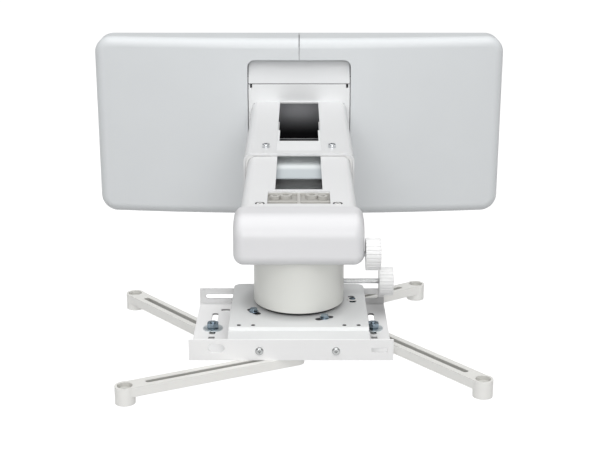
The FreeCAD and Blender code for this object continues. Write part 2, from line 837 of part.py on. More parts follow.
# Pivot bracket: casting under the arm's top, with two bosses, ribs and the lugs of the roll pin.
under_arm = arm_top - P.tube_wall
bracket_low = under_arm - P.bracket_thick
lug_out = P.lug_gap / 2 + P.lug_thick
boss_floor = under_arm - P.pocket_depth
rib_half = P.rib_thick / 2
cross_y = P.cross_rib_behind - P.neck_reach
pieces = [box((-P.bracket_wide, neck_y - lug_out, bracket_low), (P.bracket_wide, -bracket_rear, under_arm))]
hollows = []
bosses = []
bores = []
for side in (-1, 1):
    near_x, far_x = sorted((side * rib_half, side * P.bracket_half), key=lambda v: v.value)
    hollows.append(box((near_x, -bracket_front, boss_floor), (far_x, cross_y - rib_half, under_arm + 1)))
    hollows.append(box((near_x, cross_y + rib_half, boss_floor),
                       (far_x, -bracket_rear - rib_half, under_arm + 1)))
    for behind in (P.end_slot_rear, P.end_slot_front):
        slot_y = behind - P.neck_reach
        half = P.end_slot / 2
        hollows.append(box((side * P.end_slot_x - half, slot_y - half, bracket_low - 1),
                           (side * P.end_slot_x + half, slot_y + half, under_arm)))
    for x, behind, width in ((P.boss_x, P.boss_behind, P.boss_width),
                             (P.outer_boss_x, P.outer_boss_behind, P.outer_boss_width)):
        boss_y = behind - P.neck_reach
        bosses.append(rod(width / 2, (side * x, boss_y, boss_floor), P.pocket_depth + P.boss_rise))
        bores.append(rod(width / 4, (side * x, boss_y, boss_floor), P.pocket_depth + P.boss_rise + 1))
    bores.append(rod(P.bracket_screw / 4, (side * P.bracket_screw_x, bracket_screw_y, bracket_low - 1),
                     P.bracket_thick + 2))
    near_y, far_y = sorted((neck_y + side * P.lug_gap / 2, neck_y + side * lug_out), key=lambda v: v.value)
    half = P.lug_width / 2
    pieces.append(box((-half, near_y, P.tilt_height), (half, far_y, bracket_low)))
    pieces.append(rod(half, (0, near_y, P.tilt_height), P.lug_thick, "y"))
pin_rear = neck_y - lug_out
bores.append(rod(P.pin_width / 2, (0, pin_rear - 1, P.tilt_height), 2 * lug_out + 2, "y"))
node("pivot_bracket", cut(join(cut(join(*pieces), *hollows), *bosses), *bores))
node("roll_pin", rod(P.pin_width / 2, (0, pin_rear, P.tilt_height), 2 * lug_out, "y"))

screws = []
for x, y in bracket_screw_points:
    stem = rod(P.bracket_screw / 4, (x, y, bracket_low), P.bracket_thick)
    head = rod(P.bracket_screw / 2, (x, y, under_arm), P.tube_wall + P.slide_play)
    socket = rod(P.bracket_screw / 4, (x, y, arm_top - P.tube_wall / 2), P.tube_wall, "z", 6)
    screws.append(cut(join(stem, head), socket))
node("bracket_screws", group(*screws))


def knob(label, width, x, y, z):
    """Ribbed knob about the X axis, its inner face at x."""
    ribs = 24
    body = new_body(label + "_moulding")
    drawn = sketch(body, "YZ_Plane")
    circle(drawn, (0, 0), width / 2)
    pad(body, drawn, P.knob_thick)
    drawn = sketch(body, "YZ_Plane", P.knob_thick)
    circle(drawn, (0, width / 2), P.rib_cut)
    groove = pocket(body, drawn, P.knob_thick)
    spread = body.newObject("PartDesign::PolarPattern", "ribs")
    spread.Originals = [groove]
    spread.Axis = ([f for f in body.Origin.OriginFeatures if f.Role == "X_Axis"][0], [""])
    spread.Angle = 360
    spread.Occurrences = ribs
    body.Tip = spread
    return node(label, place(body, x, y, z))


# Roll adjuster: a captive screw through the cap's side, turned by the upper knob.
roll_knob_x = cap_width / 2 + P.knob_gap
knob("roll_knob", P.knob_width, roll_knob_x, roll_y, P.roll_height)
screw_start = P.lever_x - P.screw_width / 2
screw_length = roll_knob_x - screw_start
node("roll_screw", rod(P.screw_width / 2, (screw_start, roll_y, P.roll_height), screw_length, "x"))

# Hanger: block on the roll pin, with a forked lever for the roll screw and stub pins for the pitch.
half_x = P.hanger_width / 2
half_y = P.lug_gap / 2 - P.side_play
half_z = P.hanger_height / 2
lever_end = P.lever_x + P.lever_width
fork_front = roll_y - P.fork_length / 2
fork_rear = roll_y + P.fork_length / 2
lever_top = P.lever_low + P.lever_thick
lever_rear = neck_y - P.ear_width / 2 - P.screw_play
block = join(
    box((-half_x, neck_y - half_y, P.tilt_height - half_z),
        (half_x, neck_y + half_y, P.tilt_height + half_z)),
    box((-half_x, neck_y - half_y, P.lever_low), (half_x, neck_y + half_y, P.tilt_height)),
    box((P.lever_x, fork_rear, P.lever_low), (lever_end, lever_rear, lever_top)),
    box((P.lever_x, fork_front, P.lever_low - P.side_play),
        (lever_end, fork_rear, P.roll_height + P.fork_height)),
)
fork_gap = P.screw_width / 2 + P.screw_play
stub_start = P.pin_width / 2 + P.side_play
ear_in = half_x + P.side_play
ear_out = ear_in + P.ear_thick
fork_bore = (P.lever_x - 1, roll_y, P.roll_height)
node("hanger_block", cut(
    block,
    rod(P.pin_width / 2 + P.pin_play, (0, neck_y - half_y - 1, P.tilt_height), P.lug_gap + 2, "y"),
    rod(P.pin_width / 2, (-half_x - 1, neck_y, P.tilt_height), 2 * half_x + 2, "x"),
    rod(fork_gap, fork_bore, P.lever_width + 2, "x"),
    box((P.lever_x - 1, roll_y - fork_gap, P.lever_low - 1),
        (lever_end + 1, roll_y + fork_gap, P.roll_height)),
))
stubs = []
for side in (-1, 1):
    start = stub_start if side > 0 else -ear_out
    stubs.append(rod(P.pin_width / 2, (start, neck_y, P.tilt_height), ear_out - stub_start, "x"))
node("pitch_pins", group(*stubs))

# Neck: plain tube round the yoke, whose ears hang on the pitch pins and whose spindle carries the sled.
cover = new_body("neck_tube")
drawn = sketch(cover, "XZ_Plane")
neck_inner = P.neck_width / 2 - P.neck_wall
rectangle(drawn, (neck_inner, P.neck_bottom), (P.neck_width / 2, P.neck_top))
revolve(cover, drawn)
place(cover, 0, neck_y, 0)
yaw_y = -yaw_reach
node("neck_cover", cut(cover, rod(screw_hole, (0, yaw_y, P.yaw_height), P.neck_width / 2, "x")))

yoke_top = P.neck_bottom + P.yoke_thick
sled_low = P.sled_top - P.sled_thick
disc_low = sled_low - P.disc_thick
nut_low = disc_low - P.spindle_nut_height
pieces = [
    rod(neck_inner, (0, neck_y, P.neck_bottom), P.yoke_thick),
    rod(P.spindle_width / 2, (0, neck_y, nut_low), yoke_top - nut_low),
]
ear_half = P.ear_width / 2
for side in (-1, 1):
    low_x, high_x = sorted((side * ear_in, side * ear_out), key=lambda v: v.value)
    pieces.append(box((low_x, neck_y - ear_half, P.neck_bottom),
                      (high_x, neck_y + ear_half, P.tilt_height)))
    pieces.append(rod(ear_half, (low_x, neck_y, P.tilt_height), P.ear_thick, "x"))
pin_hole = rod(P.pin_width / 2 + P.pin_play, (-ear_out - 1, neck_y, P.tilt_height), 2 * ear_out + 2, "x")
nut_half = P.yaw_nut_size / 2
nut_way = box((-nut_half - P.yaw_travel, yaw_y - nut_half - P.nut_room, P.neck_bottom - 1),
              (nut_half + P.yaw_travel, yaw_y + nut_half + P.nut_room, yoke_top + 1))
node("neck_yoke", cut(join(*pieces), pin_hole, nut_way))

ring = rod(P.ring_wide, (0, neck_y, P.sled_top), P.neck_bottom - P.sled_top)
node("swivel_ring", cut(ring, rod(P.ring_inner, (0, neck_y, P.sled_top - 1), P.yoke_thick)))

swivel_turns = [P.swivel_left, P.swivel_front, P.swivel_right]
swivel_points = [(P.arc_half * sine(turn), neck_y - P.arc_half * cosine(turn)) for turn in swivel_turns]
disc = rod(P.disc_half, (0, neck_y, disc_low), P.disc_thick)
disc_holes = [rod(P.bolt_width / 2, (x, y, disc_low - 1), P.disc_thick + 2) for x, y in swivel_points]
disc_holes.append(rod(P.spindle_width / 2, (0, neck_y, disc_low - 1), P.disc_thick + 2))
disc_holes.append(box((-P.disc_half, neck_y + P.disc_flat, disc_low - 1),
                      (P.disc_half, neck_y + P.disc_half, sled_low + 1)))
node("clamp_disc", cut(disc, *disc_holes))

nut = rod(P.spindle_nut / 2, (0, neck_y, nut_low), P.spindle_nut_height, "z", 6)
node("spindle_nut", cut(nut, rod(P.spindle_width / 2, (0, neck_y, nut_low - 1), P.spindle_nut_height + 2)))

bolts = []
for x, y in swivel_points:
    bolts.append(join(
        rod(P.bolt_width / 2, (x, y, disc_low), P.sled_top - disc_low),
        rod(P.washer_width / 2, (x, y, P.sled_top), P.washer_thick),
        rod(P.bolt_head * 0.577, (x, y, P.sled_top + P.washer_thick), P.bolt_head_height, "z", 6),
    ))
node("swivel_bolts", group(*bolts))

# Yaw adjuster: a screw through the neck's wall, turned by the lower knob, in a nut on the sled's post.
knob("yaw_knob", P.yaw_knob_width, P.yaw_knob_x, yaw_y, P.yaw_height)
yaw_start = -nut_half - P.yaw_travel
node("yaw_screw", rod(P.screw_width / 2, (yaw_start, yaw_y, P.yaw_height), P.yaw_knob_x - yaw_start, "x"))
nut_base = P.yaw_height - nut_half
nut_block = join(
    box((-nut_half, yaw_y - nut_half, nut_base), (nut_half, yaw_y + nut_half, P.yaw_height + nut_half)),
    rod(P.post_width / 2, (0, yaw_y, P.sled_top), nut_base - P.sled_top),
)
nut_bore = rod(fork_gap, (-nut_half - 1, yaw_y, P.yaw_height), P.yaw_nut_size + 2, "x")
node("yaw_nut", cut(nut_block, nut_bore))

# Sled: plate under the neck with arc slots for the swivel bolts, a stepped front lip and two rear tabs.
sled = new_body("sled_sheet")
bend_y = -sled_bend
lip_back = P.sled_thick - sled_front
step_top = P.sled_top - P.sled_drop
step_low = step_top - P.sled_thick
drawn = sketch(sled, "YZ_Plane", -P.sled_half)
outline(drawn, [
    (-sled_rear, P.sled_top), (bend_y, P.sled_top), (bend_y - P.sled_thick, step_top),
    (-sled_front, step_top), (-sled_front, P.lip_low), (lip_back, P.lip_low), (lip_back, step_low),
    (bend_y, step_low), (bend_y + P.sled_thick, sled_low), (-sled_rear, sled_low),
])
pad(sled, drawn, 2 * P.sled_half)
fillet(sled, P.sled_corner, lambda e, m: runs_along(e, "z") and near(m.y, -sled_rear))
flange_in = P.tray_thick - tray_front
flange_back = -tray_rear - P.tray_thick
tab_front = flange_back - P.side_play - P.sled_thick
tabs = []
for side in (-1, 1):
    middle = side * P.guide_x
    half = P.tab_width / 2
    tabs.append(box((middle - half, tab_front, P.rear_slot_low - P.tray_thick),
                    (middle + half, flange_back - P.side_play, sled_low)))
slot_depth = P.sled_thick + 2
arcs = []
for turn in swivel_turns:
    start = turn - 90 - P.arc_angle / 2
    sector = doc.addObject("Part::Cylinder", "sector")
    bind(sector, "Radius", P.arc_half + P.arc_width / 2)
    bind(sector, "Height", slot_depth)
    bind(sector, "Angle", P.arc_angle)
    place(sector, 0, neck_y, sled_low - 1, start)
    arcs.append(cut(sector, rod(P.arc_half - P.arc_width / 2, (0, neck_y, sled_low - 2), slot_depth + 2)))
    for end in (start, start + P.arc_angle):
        point = (P.arc_half * cosine(end), neck_y + P.arc_half * sine(end), sled_low - 1)
        arcs.append(rod(P.arc_width / 2, point, slot_depth))
sled_holes = [rod(P.spindle_width / 2 + P.pin_play, (0, neck_y, sled_low - 1), slot_depth)]
for side in (-1, 1):
    sled_holes.append(long_hole((side * P.front_screw_half, P.front_screw_height), P.lip_slot_width,
                                P.lip_slot_length, -sled_front - 1, lip_back + 1, "x", "y"))
    for inset in (P.sled_corner + 1, 2.7 * P.sled_corner):
        point = (side * (P.sled_half - inset), bend_y + P.bolt_width, sled_low - 1)
        sled_holes.append(rod(P.slot_pin / 2, point, slot_depth))
sled_holes.append(rod(P.bolt_width / 2, (-P.sled_half + P.sled_corner + 1, P.sled_corner - sled_rear - 2,
                                         sled_low - 1), slot_depth))
slot_middle = (P.rear_slot_low + P.rear_slot_high) / 2
guide_hole = P.bolt_width * 0.4
for side in (-1, 1):
    point = (side * P.guide_x, tab_front - 1, slot_middle)
    sled_holes.append(rod(guide_hole, point, P.sled_thick + 2, "y"))
node("sled", cut(join(sled, *tabs), *arcs, *sled_holes))

guides = []
for side in (-1, 1):
    x = side * P.guide_x
    head_y = P.side_play - tray_rear
    guides.append(join(
        rod(guide_hole, (x, tab_front, slot_middle), head_y - tab_front, "y"),
        rod(P.front_screw * 0.6, (x, head_y, slot_middle), P.tray_thick, "y"),
    ))
node("rear_guide_screws", group(*guides))

# Tray: folded channel that slides across the sled and carries the four legs under its floor.
tray = new_body("tray_sheet")
floor_low = P.tray_floor - P.tray_thick
tray_left = P.tray_centre - P.tray_width / 2
outer_left = P.clamp_centre - P.side_slot_half
outer_right = P.clamp_centre + P.side_slot_half
drawn = sketch(tray, "YZ_Plane", tray_left)
outline(drawn, [
    (-tray_front, floor_low), (-tray_front, P.front_flange_top), (flange_in, P.front_flange_top),
    (flange_in, P.tray_floor), (flange_back, P.tray_floor), (flange_back, P.rear_flange_top),
    (-tray_rear, P.rear_flange_top), (-tray_rear, floor_low),
])
pad(tray, drawn, P.tray_width)
drill = P.tray_thick + 2
floor_start = floor_low - 1
side_middle = -(side_slot_rear + side_slot_front) / 2
side_length = side_slot_front - side_slot_rear
front_screw_points = [P.front_screw_centre + side * P.front_screw_half for side in (-1, 1)]
tag_middle = P.tag_low + P.tag_height / 2
tray_holes = [
    long_hole((P.tray_centre, slot_middle), P.rear_slot_high - P.rear_slot_low, P.rear_slot_length,
              flange_back - 1, 1 - tray_rear, "x", "y"),
    long_hole((P.tray_centre - P.tag_left, tag_middle), P.tag_height, P.tag_width,
              -tray_front - 1, flange_in + 1, "x", "y"),
    box((P.tray_centre + P.tag_right - P.tag_width / 2, -tray_front - 1, P.tag_low),
        (P.tray_centre + P.tag_right + P.tag_width / 2, flange_in + 1, tag_middle)),
    rod(P.clamp_slot / 2, (P.left_bolt_x, -left_bolt_reach, floor_start), drill),
    rod(P.clamp_slot / 2, (P.right_bolt_x, -right_bolt_reach, floor_start), drill),
    long_hole((outer_left + P.clamp_washer / 2, -right_bolt_reach), P.clamp_slot, P.clamp_washer / 2,
              floor_start, floor_start + drill),
]
for side in (-1, 1):
    x = P.clamp_centre + side * P.side_slot_half
    tray_holes.append(long_hole((x, side_middle), P.clamp_slot, side_length,
                                floor_start, floor_start + drill, "y"))
    key_y = -side_slot_front - P.clamp_nut
    tray_holes.append(box((x - P.clamp_slot / 2, key_y, floor_start),
                          (x + P.clamp_slot / 2, key_y + P.bolt_width, floor_start + drill)))
for x in front_screw_points:
    tray_holes.append(rod(P.slot_pin / 2, (x, -tray_front - 1, P.front_screw_height), drill, "y"))
node("tray", cut(tray, *tray_holes))

screws = []
head_depth = P.front_screw * 0.32
nut_front = lip_back + P.side_play
for x in front_screw_points:
    z = P.front_screw_height
    screws.append(cut(
        join(
            rod(P.front_screw / 2, (x, -tray_front - head_depth, z), head_depth, "y"),
            rod(P.slot_pin / 2, (x, -tray_front, z), nut_front + P.slot_pin + tray_front, "y"),
            rod(P.front_screw * 0.55, (x, nut_front, z), P.slot_pin * 0.75, "y", 6),
        ),
        box((x - P.front_screw / 3, -tray_front - head_depth - 1, z - P.side_play),
            (x + P.front_screw / 3, -tray_front - head_depth / 2, z + P.side_play)),
        box((x - P.side_play, -tray_front - head_depth - 1, z - P.front_screw / 3),
            (x + P.side_play, -tray_front - head_depth / 2, z + P.front_screw / 3)),
    ))
node("front_screws", group(*screws))

# Legs: cast slotted bars under the tray, each held by a bolt and nut and ending in a bored foot.
leg_low = P.leg_top - P.leg_thick
groove_top = leg_low + P.leg_groove_depth
legs = {
    "left_front": (P.left_bolt_x, left_bolt_reach, P.left_front_turn, P.left_front_out),
    "right_front": (outer_right, outer_bolt_reach, P.right_front_turn, P.right_front_out),
    "left_rear": (outer_left, outer_bolt_reach, P.left_rear_turn, P.left_rear_out),
    "right_rear": (P.right_bolt_x, right_bolt_reach, P.right_rear_turn, P.right_rear_out),
}
for name, (bolt_x, bolt_reach, turn, out) in legs.items():
    half = P.leg_width / 2
    bar = join(
        box((0, -half, leg_low), (P.leg_length, half, P.leg_top)),
        rod(half, (0, 0, leg_low), P.leg_thick),
        rod(P.foot_width / 2, (P.leg_length, 0, P.leg_top - P.foot_height), P.foot_height),
    )
    slot_length = P.leg_slot_end - P.leg_slot_start
    groove_length = slot_length + P.leg_groove - P.leg_slot
    slot_x = (P.leg_slot_start + P.leg_slot_end) / 2
    recess_low = P.leg_top - P.foot_recess_depth
    leg = cut(
        bar,
        long_hole((slot_x, 0), P.leg_slot, slot_length, leg_low - 1, P.leg_top + 1),
        long_hole((slot_x, 0), P.leg_groove, groove_length, leg_low - 1, groove_top),
        rod(P.foot_bore / 2, (P.leg_length, 0, P.leg_top - P.foot_height - 1), P.foot_height + 2),
        rod(P.foot_recess / 2, (P.leg_length, 0, recess_low), P.foot_recess_depth + 1),
    )
    inward = out - P.leg_length
    start = (bolt_x + inward * cosine(turn), inward * sine(turn) - bolt_reach)
    node(f"leg_{name}", place(leg, *start, 0, turn))
    nut_base = P.tray_floor + P.washer_thick
    bolt_top = nut_base + P.clamp_nut_height + P.washer_thick
    at = (bolt_x, -bolt_reach)
    node(f"clamp_bolt_{name}", join(
        rod(P.clamp_bolt / 2, (*at, groove_top), bolt_top - groove_top),
        rod(P.bolt_head * 0.577, (*at, groove_top - P.bolt_head_height), P.bolt_head_height, "z", 6),
    ))
    nut = join(
        rod(P.clamp_washer / 2, (*at, P.tray_floor), P.washer_thick),
        rod(P.clamp_nut * 0.577, (*at, nut_base), P.clamp_nut_height, "z", 6),
    )
    thread_length = P.clamp_nut_height + P.washer_thick + 2
    thread = rod(P.clamp_bolt / 2 + P.pin_play, (*at, P.tray_floor - 1), thread_length)
    node(f"clamp_nut_{name}", cut(nut, thread))

doc.recompute()
for thing in doc.Objects:
    if "Invalid" in thing.State or "Error" in thing.State:
        raise ValueError(f"{thing.Label} ({thing.Name}) failed: {thing.State}")
for thing in nodes:
    shape = thing.Shape
    if shape.isNull() or not shape.isValid():
        raise ValueError(f"{thing.Label} has no valid shape")
for thing in nodes:
    thing.Shape.exportStep(f"parts/{thing.Label}.step")
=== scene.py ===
"""Looks of the projector wall mount, in metres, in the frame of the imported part.

The wall is the plane y = 0, the arm reaches out along -Y, +X is right and +Z is up.
"""
import bpy
import math
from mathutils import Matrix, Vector


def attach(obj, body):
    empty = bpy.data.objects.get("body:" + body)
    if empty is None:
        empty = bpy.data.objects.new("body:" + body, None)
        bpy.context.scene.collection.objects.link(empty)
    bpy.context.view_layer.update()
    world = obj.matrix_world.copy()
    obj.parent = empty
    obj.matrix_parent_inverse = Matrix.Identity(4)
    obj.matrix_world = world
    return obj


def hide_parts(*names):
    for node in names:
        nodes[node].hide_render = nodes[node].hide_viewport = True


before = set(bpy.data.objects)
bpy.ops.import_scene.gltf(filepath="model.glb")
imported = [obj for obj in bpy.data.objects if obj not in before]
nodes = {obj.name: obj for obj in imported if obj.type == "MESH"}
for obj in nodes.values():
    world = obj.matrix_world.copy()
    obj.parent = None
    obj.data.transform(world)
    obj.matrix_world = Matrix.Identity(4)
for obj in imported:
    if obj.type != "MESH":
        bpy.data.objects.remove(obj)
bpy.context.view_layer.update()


# Floor: a plain white sweep well below the mount. It glows a little, so that it stays pale
# behind the white pieces, and it doesn't throw its glow back on them.
FLOOR_DROP = 0.42
FLOOR_SIZE = 60
FLOOR_PAPER = (0.3, 0.3, 0.3, 1)
FLOOR_ROUGH = 0.85
FLOOR_GLOW = 0.97
SPECKLE_SCALE = 40.0
SPECKLE_SHINE = 0.1
FULL_WHITE = (1, 1, 1, 1)


def deselect():
    if bpy.context.mode != "OBJECT":
        bpy.ops.object.mode_set(mode="OBJECT")
    bpy.ops.object.select_all(action="DESELECT")


class Tone:
    """A socket in a material's nodes. Sums on tones add the Math nodes for them."""

    def __init__(self, tree, socket=None):
        self.tree = tree
        self.socket = socket

    def node(self, kind, inputs, out=0, **settings):
        made = self.tree.nodes.new("ShaderNode" + kind)
        for name, value in settings.items():
            setattr(made, name, value)
        for name, value in inputs.items():
            if isinstance(value, Tone):
                self.tree.links.new(value.socket, made.inputs[name])
            else:
                made.inputs[name].default_value = value
        return Tone(self.tree, made.outputs[out] if made.outputs else None)

    def sum(self, operation, first, second):
        return self.node("Math", {0: first, 1: second}, operation=operation)

    def __add__(self, other):
        return self.sum("ADD", self, other)

    def __radd__(self, other):
        return self.sum("ADD", other, self)

    def __sub__(self, other):
        return self.sum("SUBTRACT", self, other)

    def __rsub__(self, other):
        return self.sum("SUBTRACT", other, self)

    def __mul__(self, other):
        return self.sum("MULTIPLY", self, other)

    def __rmul__(self, other):
        return self.sum("MULTIPLY", other, self)

    def __lt__(self, other):
        return self.sum("LESS_THAN", self, other)

    def __gt__(self, other):
        return self.sum("GREATER_THAN", self, other)

    def __abs__(self):
        return self.node("Math", {0: self}, operation="ABSOLUTE")


def new_finish(name):
    """An empty material and the tone that its nodes are made from."""
    finish = bpy.data.materials.new(name)
    finish.use_nodes = True
    finish.node_tree.nodes.clear()
    return finish, Tone(finish.node_tree)


def principled(tone, inputs):
    """Close a finish with its one shader."""
    shader = tone.node("BsdfPrincipled", inputs)
    tone.node("OutputMaterial", {"Surface": shader})


deselect()
bpy.ops.mesh.primitive_plane_add(size=FLOOR_SIZE, location=(0, 0, -FLOOR_DROP))
floor = bpy.context.object
floor.name = "floor"
floor_paper, tone = new_finish("floor_paper")
speckle = tone.node("TexNoise", {"Scale": SPECKLE_SCALE})
principled(tone, {
    "Base Color": FLOOR_PAPER,
    "Roughness": FLOOR_ROUGH + SPECKLE_SHINE * speckle,
    "Emission Color": FULL_WHITE,
    "Emission Strength": FLOOR_GLOW,
})
floor.data.materials.append(floor_paper)
floor.visible_diffuse = False


# Camera and light: a long lens a little above the arm, and soft boxes overhead and in front, as
# for a catalogue picture on white. The sky lights the mount softly and looks as white as the floor.
CAMERA_PLACE = (0.0011, -1.595, 0.3615)
CAMERA_DIP = 17.5
SENSOR = 36
LENS = 76.1
SKY = 0.29
TOP_LIGHT = dict(place=(0.0, -0.75, 1.7), aim=(0, -0.3, 0), size=2.6, power=36)
FRONT_LIGHT = dict(place=(0.0, -3.6, 0.9), aim=(0, -0.3, 0), size=1.6, power=40)

camera_data = bpy.data.cameras.new("camera")
camera_data.sensor_width = SENSOR
camera_data.lens = LENS
camera = bpy.data.objects.new("camera", camera_data)
camera.location = CAMERA_PLACE
camera.rotation_euler = (math.radians(90 - CAMERA_DIP), 0, 0)
bpy.context.collection.objects.link(camera)
bpy.context.scene.camera = camera
bpy.context.scene.view_settings.view_transform = "Standard"

world = bpy.data.worlds.new("sky")
world.use_nodes = True
world.node_tree.nodes.clear()
tone = Tone(world.node_tree)
seen = tone.node("LightPath", {}, out="Is Camera Ray")
sky = tone.node("Background", {"Color": FULL_WHITE, "Strength": SKY + (1 - SKY) * seen})
tone.node("OutputWorld", {"Surface": sky})
bpy.context.scene.world = world


def soft_box(name, place, aim, size, power):
    light = bpy.data.lights.new(name, "AREA")
    light.size = size
    light.energy = power
    thing = bpy.data.objects.new(name, light)
    thing.location = place
    thing.rotation_euler = (Vector(aim) - Vector(place)).to_track_quat("-Z", "Y").to_euler()
    bpy.context.collection.objects.link(thing)


soft_box("top_light", **TOP_LIGHT)
soft_box("front_light", **FRONT_LIGHT)


# Wall plate: galvanised steel sheet with folded lips, screwed to the studs. Its back has the
# spangle of hot-dipped zinc. Its front is rolled smooth, and painted dark as shade low down at the
# cables' way in, where it is seen through the sleeve's slot.
GALVANISED = (0.58, 0.585, 0.61)
GALVANISED_METAL = 0.75
GALVANISED_ROUGH = 0.4
SPANGLE = 0.012
SPANGLE_SHINE = 0.18
CAVITY_SHADE_DARK = (0.012, 0.011, 0.013)
CAVITY_SHADE_HALF = 0.06
CAVITY_SHADE_FADE = (-0.018, 0.022)
PLATE_FRONT = -0.0015
PLATE_EDGE = 0.0004
DUST_SCALE = 900.0
METAL_DEPTH = 0.00002
EDGE_SAMPLES = 4


def mix(tone, factor, low, high):
    """A colour between two, either of them a tone or a plain colour."""
    ends = [end if isinstance(end, Tone) else (*end, 1) for end in (low, high)]
    return tone.node("Mix", {0: factor, 6: ends[0], 7: ends[1]}, out=2, data_type="RGBA")


def ramp(tone, value, start, end):
    """0 before start, 1 after end and smooth between them."""
    return tone.node(
        "MapRange",
        {"Value": value, "From Min": start, "From Max": end},
        interpolation_type="SMOOTHSTEP",
    )


def times(colour, share):
    """A plain colour made paler or deeper."""
    return tuple(min(1, c * share) for c in colour)


def axes_of(tone, place):
    return [tone.node("SeparateXYZ", {"Vector": place}, out=axis) for axis in "XYZ"]


def noise(tone, place, scale, detail):
    return tone.node("TexNoise", {"Vector": place, "Scale": scale, "Detail": detail})


def rounded_edges(tone, radius):
    return tone.node("Bevel", {"Radius": radius}, samples=EDGE_SAMPLES)


def grained(tone, height, depth, normal):
    return tone.node("Bump", {"Height": height, "Distance": depth, "Normal": normal})


def dress(finish, *names):
    """Give CAD nodes their finish."""
    for name in names:
        for slot in nodes[name].material_slots:
            slot.material = finish


plate_zinc, tone = new_finish("plate_zinc")
place = tone.node("TexCoord", {}, out="Object")
x, y, z = axes_of(tone, place)
flakes = tone.node("TexVoronoi", {"Vector": place, "Scale": 1 / SPANGLE}, out="Color")
flake = tone.node("SeparateColor", {"Color": flakes})
flake = flake * (y > PLATE_FRONT) + 0.5 * (y < PLATE_FRONT)
dust = noise(tone, place, DUST_SCALE, detail=3.0)
bump = grained(tone, dust, METAL_DEPTH, rounded_edges(tone, PLATE_EDGE))
zinc_skin = mix(tone, 0.7 * flake + 0.3 * dust, times(GALVANISED, 0.8), times(GALVANISED, 1.3))
# Painted shade: the plate's front darkens towards the bottom in the middle, behind the sleeve.
cavity_shade = (y < PLATE_FRONT) * (abs(x) < CAVITY_SHADE_HALF) * (1 - ramp(tone, z, *CAVITY_SHADE_FADE))
principled(tone, {
    "Base Color": mix(tone, cavity_shade, zinc_skin, CAVITY_SHADE_DARK),
    "Metallic": GALVANISED_METAL,
    "Roughness": GALVANISED_ROUGH + SPANGLE_SHINE * flake,
    "Normal": bump,
})
dress(plate_zinc, "wall_plate")


# Cover halves: two moulded shells that clip over the wall plate and meet at a seam. The mould
# gives them a fine even grain, and the seam is painted with a dark line of shadow, strongest where
# it opens at the top.
COVER_WHITE = (0.76, 0.785, 0.80)
SEAM_SHADOW = (0.16, 0.165, 0.17)
SEAM_EDGE = (0.0003, 0.0009)
SEAM_MOUTH = (0.1, 0.106)
SEAM_SHARE = 0.25
CLOUD_SCALE = 22.0
CLOUD_SHINE = 0.16
PEEL_SHINE = 0.05
EDGE_LIGHT_GAIN = 4


def skin(tone, place, colour, grain, depth, edge, edge_light, mottle):
    """Colour, grain, clouds, soft edges and a painted edge highlight that all painted and moulded pieces
    share.
    """
    peel = noise(tone, place, 1 / grain, detail=2.0)
    clouds = noise(tone, place, CLOUD_SCALE, detail=3.0)
    rounded = rounded_edges(tone, edge)
    bump = grained(tone, peel, depth, rounded)
    face = tone.node("NewGeometry", {}, out="True Normal")
    along = tone.node("VectorMath", {0: rounded, 1: face}, out="Value", operation="DOT_PRODUCT")
    # Painted highlight: rounded edges are painted paler, or darker where edge_light is below 0.
    edge_lit = tuple(min(1, c + edge_light) for c in colour)
    ground = mix(tone, clouds, times(colour, 1 - mottle), colour)
    return mix(tone, (1 - along) * EDGE_LIGHT_GAIN, ground, edge_lit), peel, clouds, bump


def coated(name, colour, rough, grain, depth, edge=0.0005, edge_light=0.04, mottle=0.03, coat=0.0,
           dark=None, shade=None):
    """Paint or moulded skin. The dark colour, if any, lies where the shade gives 1."""
    finish, tone = new_finish(name)
    place = tone.node("TexCoord", {}, out="Object")
    colours, peel, clouds, bump = skin(tone, place, colour, grain, depth, edge, edge_light, mottle)
    if dark:
        colours = mix(tone, shade(tone, *axes_of(tone, place)), colours, dark)
    principled(tone, {
        "Base Color": colours,
        "Roughness": rough + CLOUD_SHINE * (clouds - 0.5) + PEEL_SHINE * (peel - 0.5),
        "Normal": bump,
        "Coat Weight": coat,
    })
    return finish


# Painted shadow: a dark line down the seam, strongest near the top.
def seam_shade(tone, x, y, z):
    line = 1 - ramp(tone, abs(x), *SEAM_EDGE)
    return line * (SEAM_SHARE + (1 - SEAM_SHARE) * ramp(tone, z, *SEAM_MOUTH))


cover_plastic = coated("cover_plastic", COVER_WHITE, rough=0.36, grain=0.0009, depth=0.00003,
                       edge=0.001, dark=SEAM_SHADOW, shade=seam_shade)
dress(cover_plastic, "cover_left", "cover_right")


# Apron, arm base and their bolts: folded steel sheet sprayed with white powder and baked. The
# coat has a fine orange peel and a painted highlight along the folds. Plated bolts hold it to the plate.
APRON_WHITE = (0.89, 0.905, 0.915)
APRON_SEAM_AND_SHADE = (0.2, 0.2, 0.205)
APRON_FOOT = (0.0576, 0.0586)
APRON_SHADE_FALL = (0.066, 0.09)
BASE_WHITE = (0.86, 0.87, 0.875)
POWDER = dict(rough=0.42, grain=0.0011, depth=0.00004)
ZINC_BLUE = (0.29, 0.36, 0.42)
BRUSH_SCALE = 1500.0
FILM_SHINE = 0.2
PLATED_EDGE = 0.00025


def plated(name, colour, rough, patches=260.0, spread=0.25):
    """Plated steel: streaks of turning, patches of film and bright edges."""
    finish, tone = new_finish(name)
    place = tone.node("TexCoord", {}, out="Object")
    film = noise(tone, place, patches, detail=3.0)
    lines = noise(tone, place, BRUSH_SCALE, detail=2.0)
    bump = grained(tone, lines, METAL_DEPTH, rounded_edges(tone, PLATED_EDGE))
    principled(tone, {
        "Base Color": mix(tone, film, times(colour, 1 - spread), times(colour, 1 + spread)),
        "Metallic": 1.0,
        "Roughness": rough + FILM_SHINE * (film - 0.5),
        "Normal": bump,
    })
    return finish


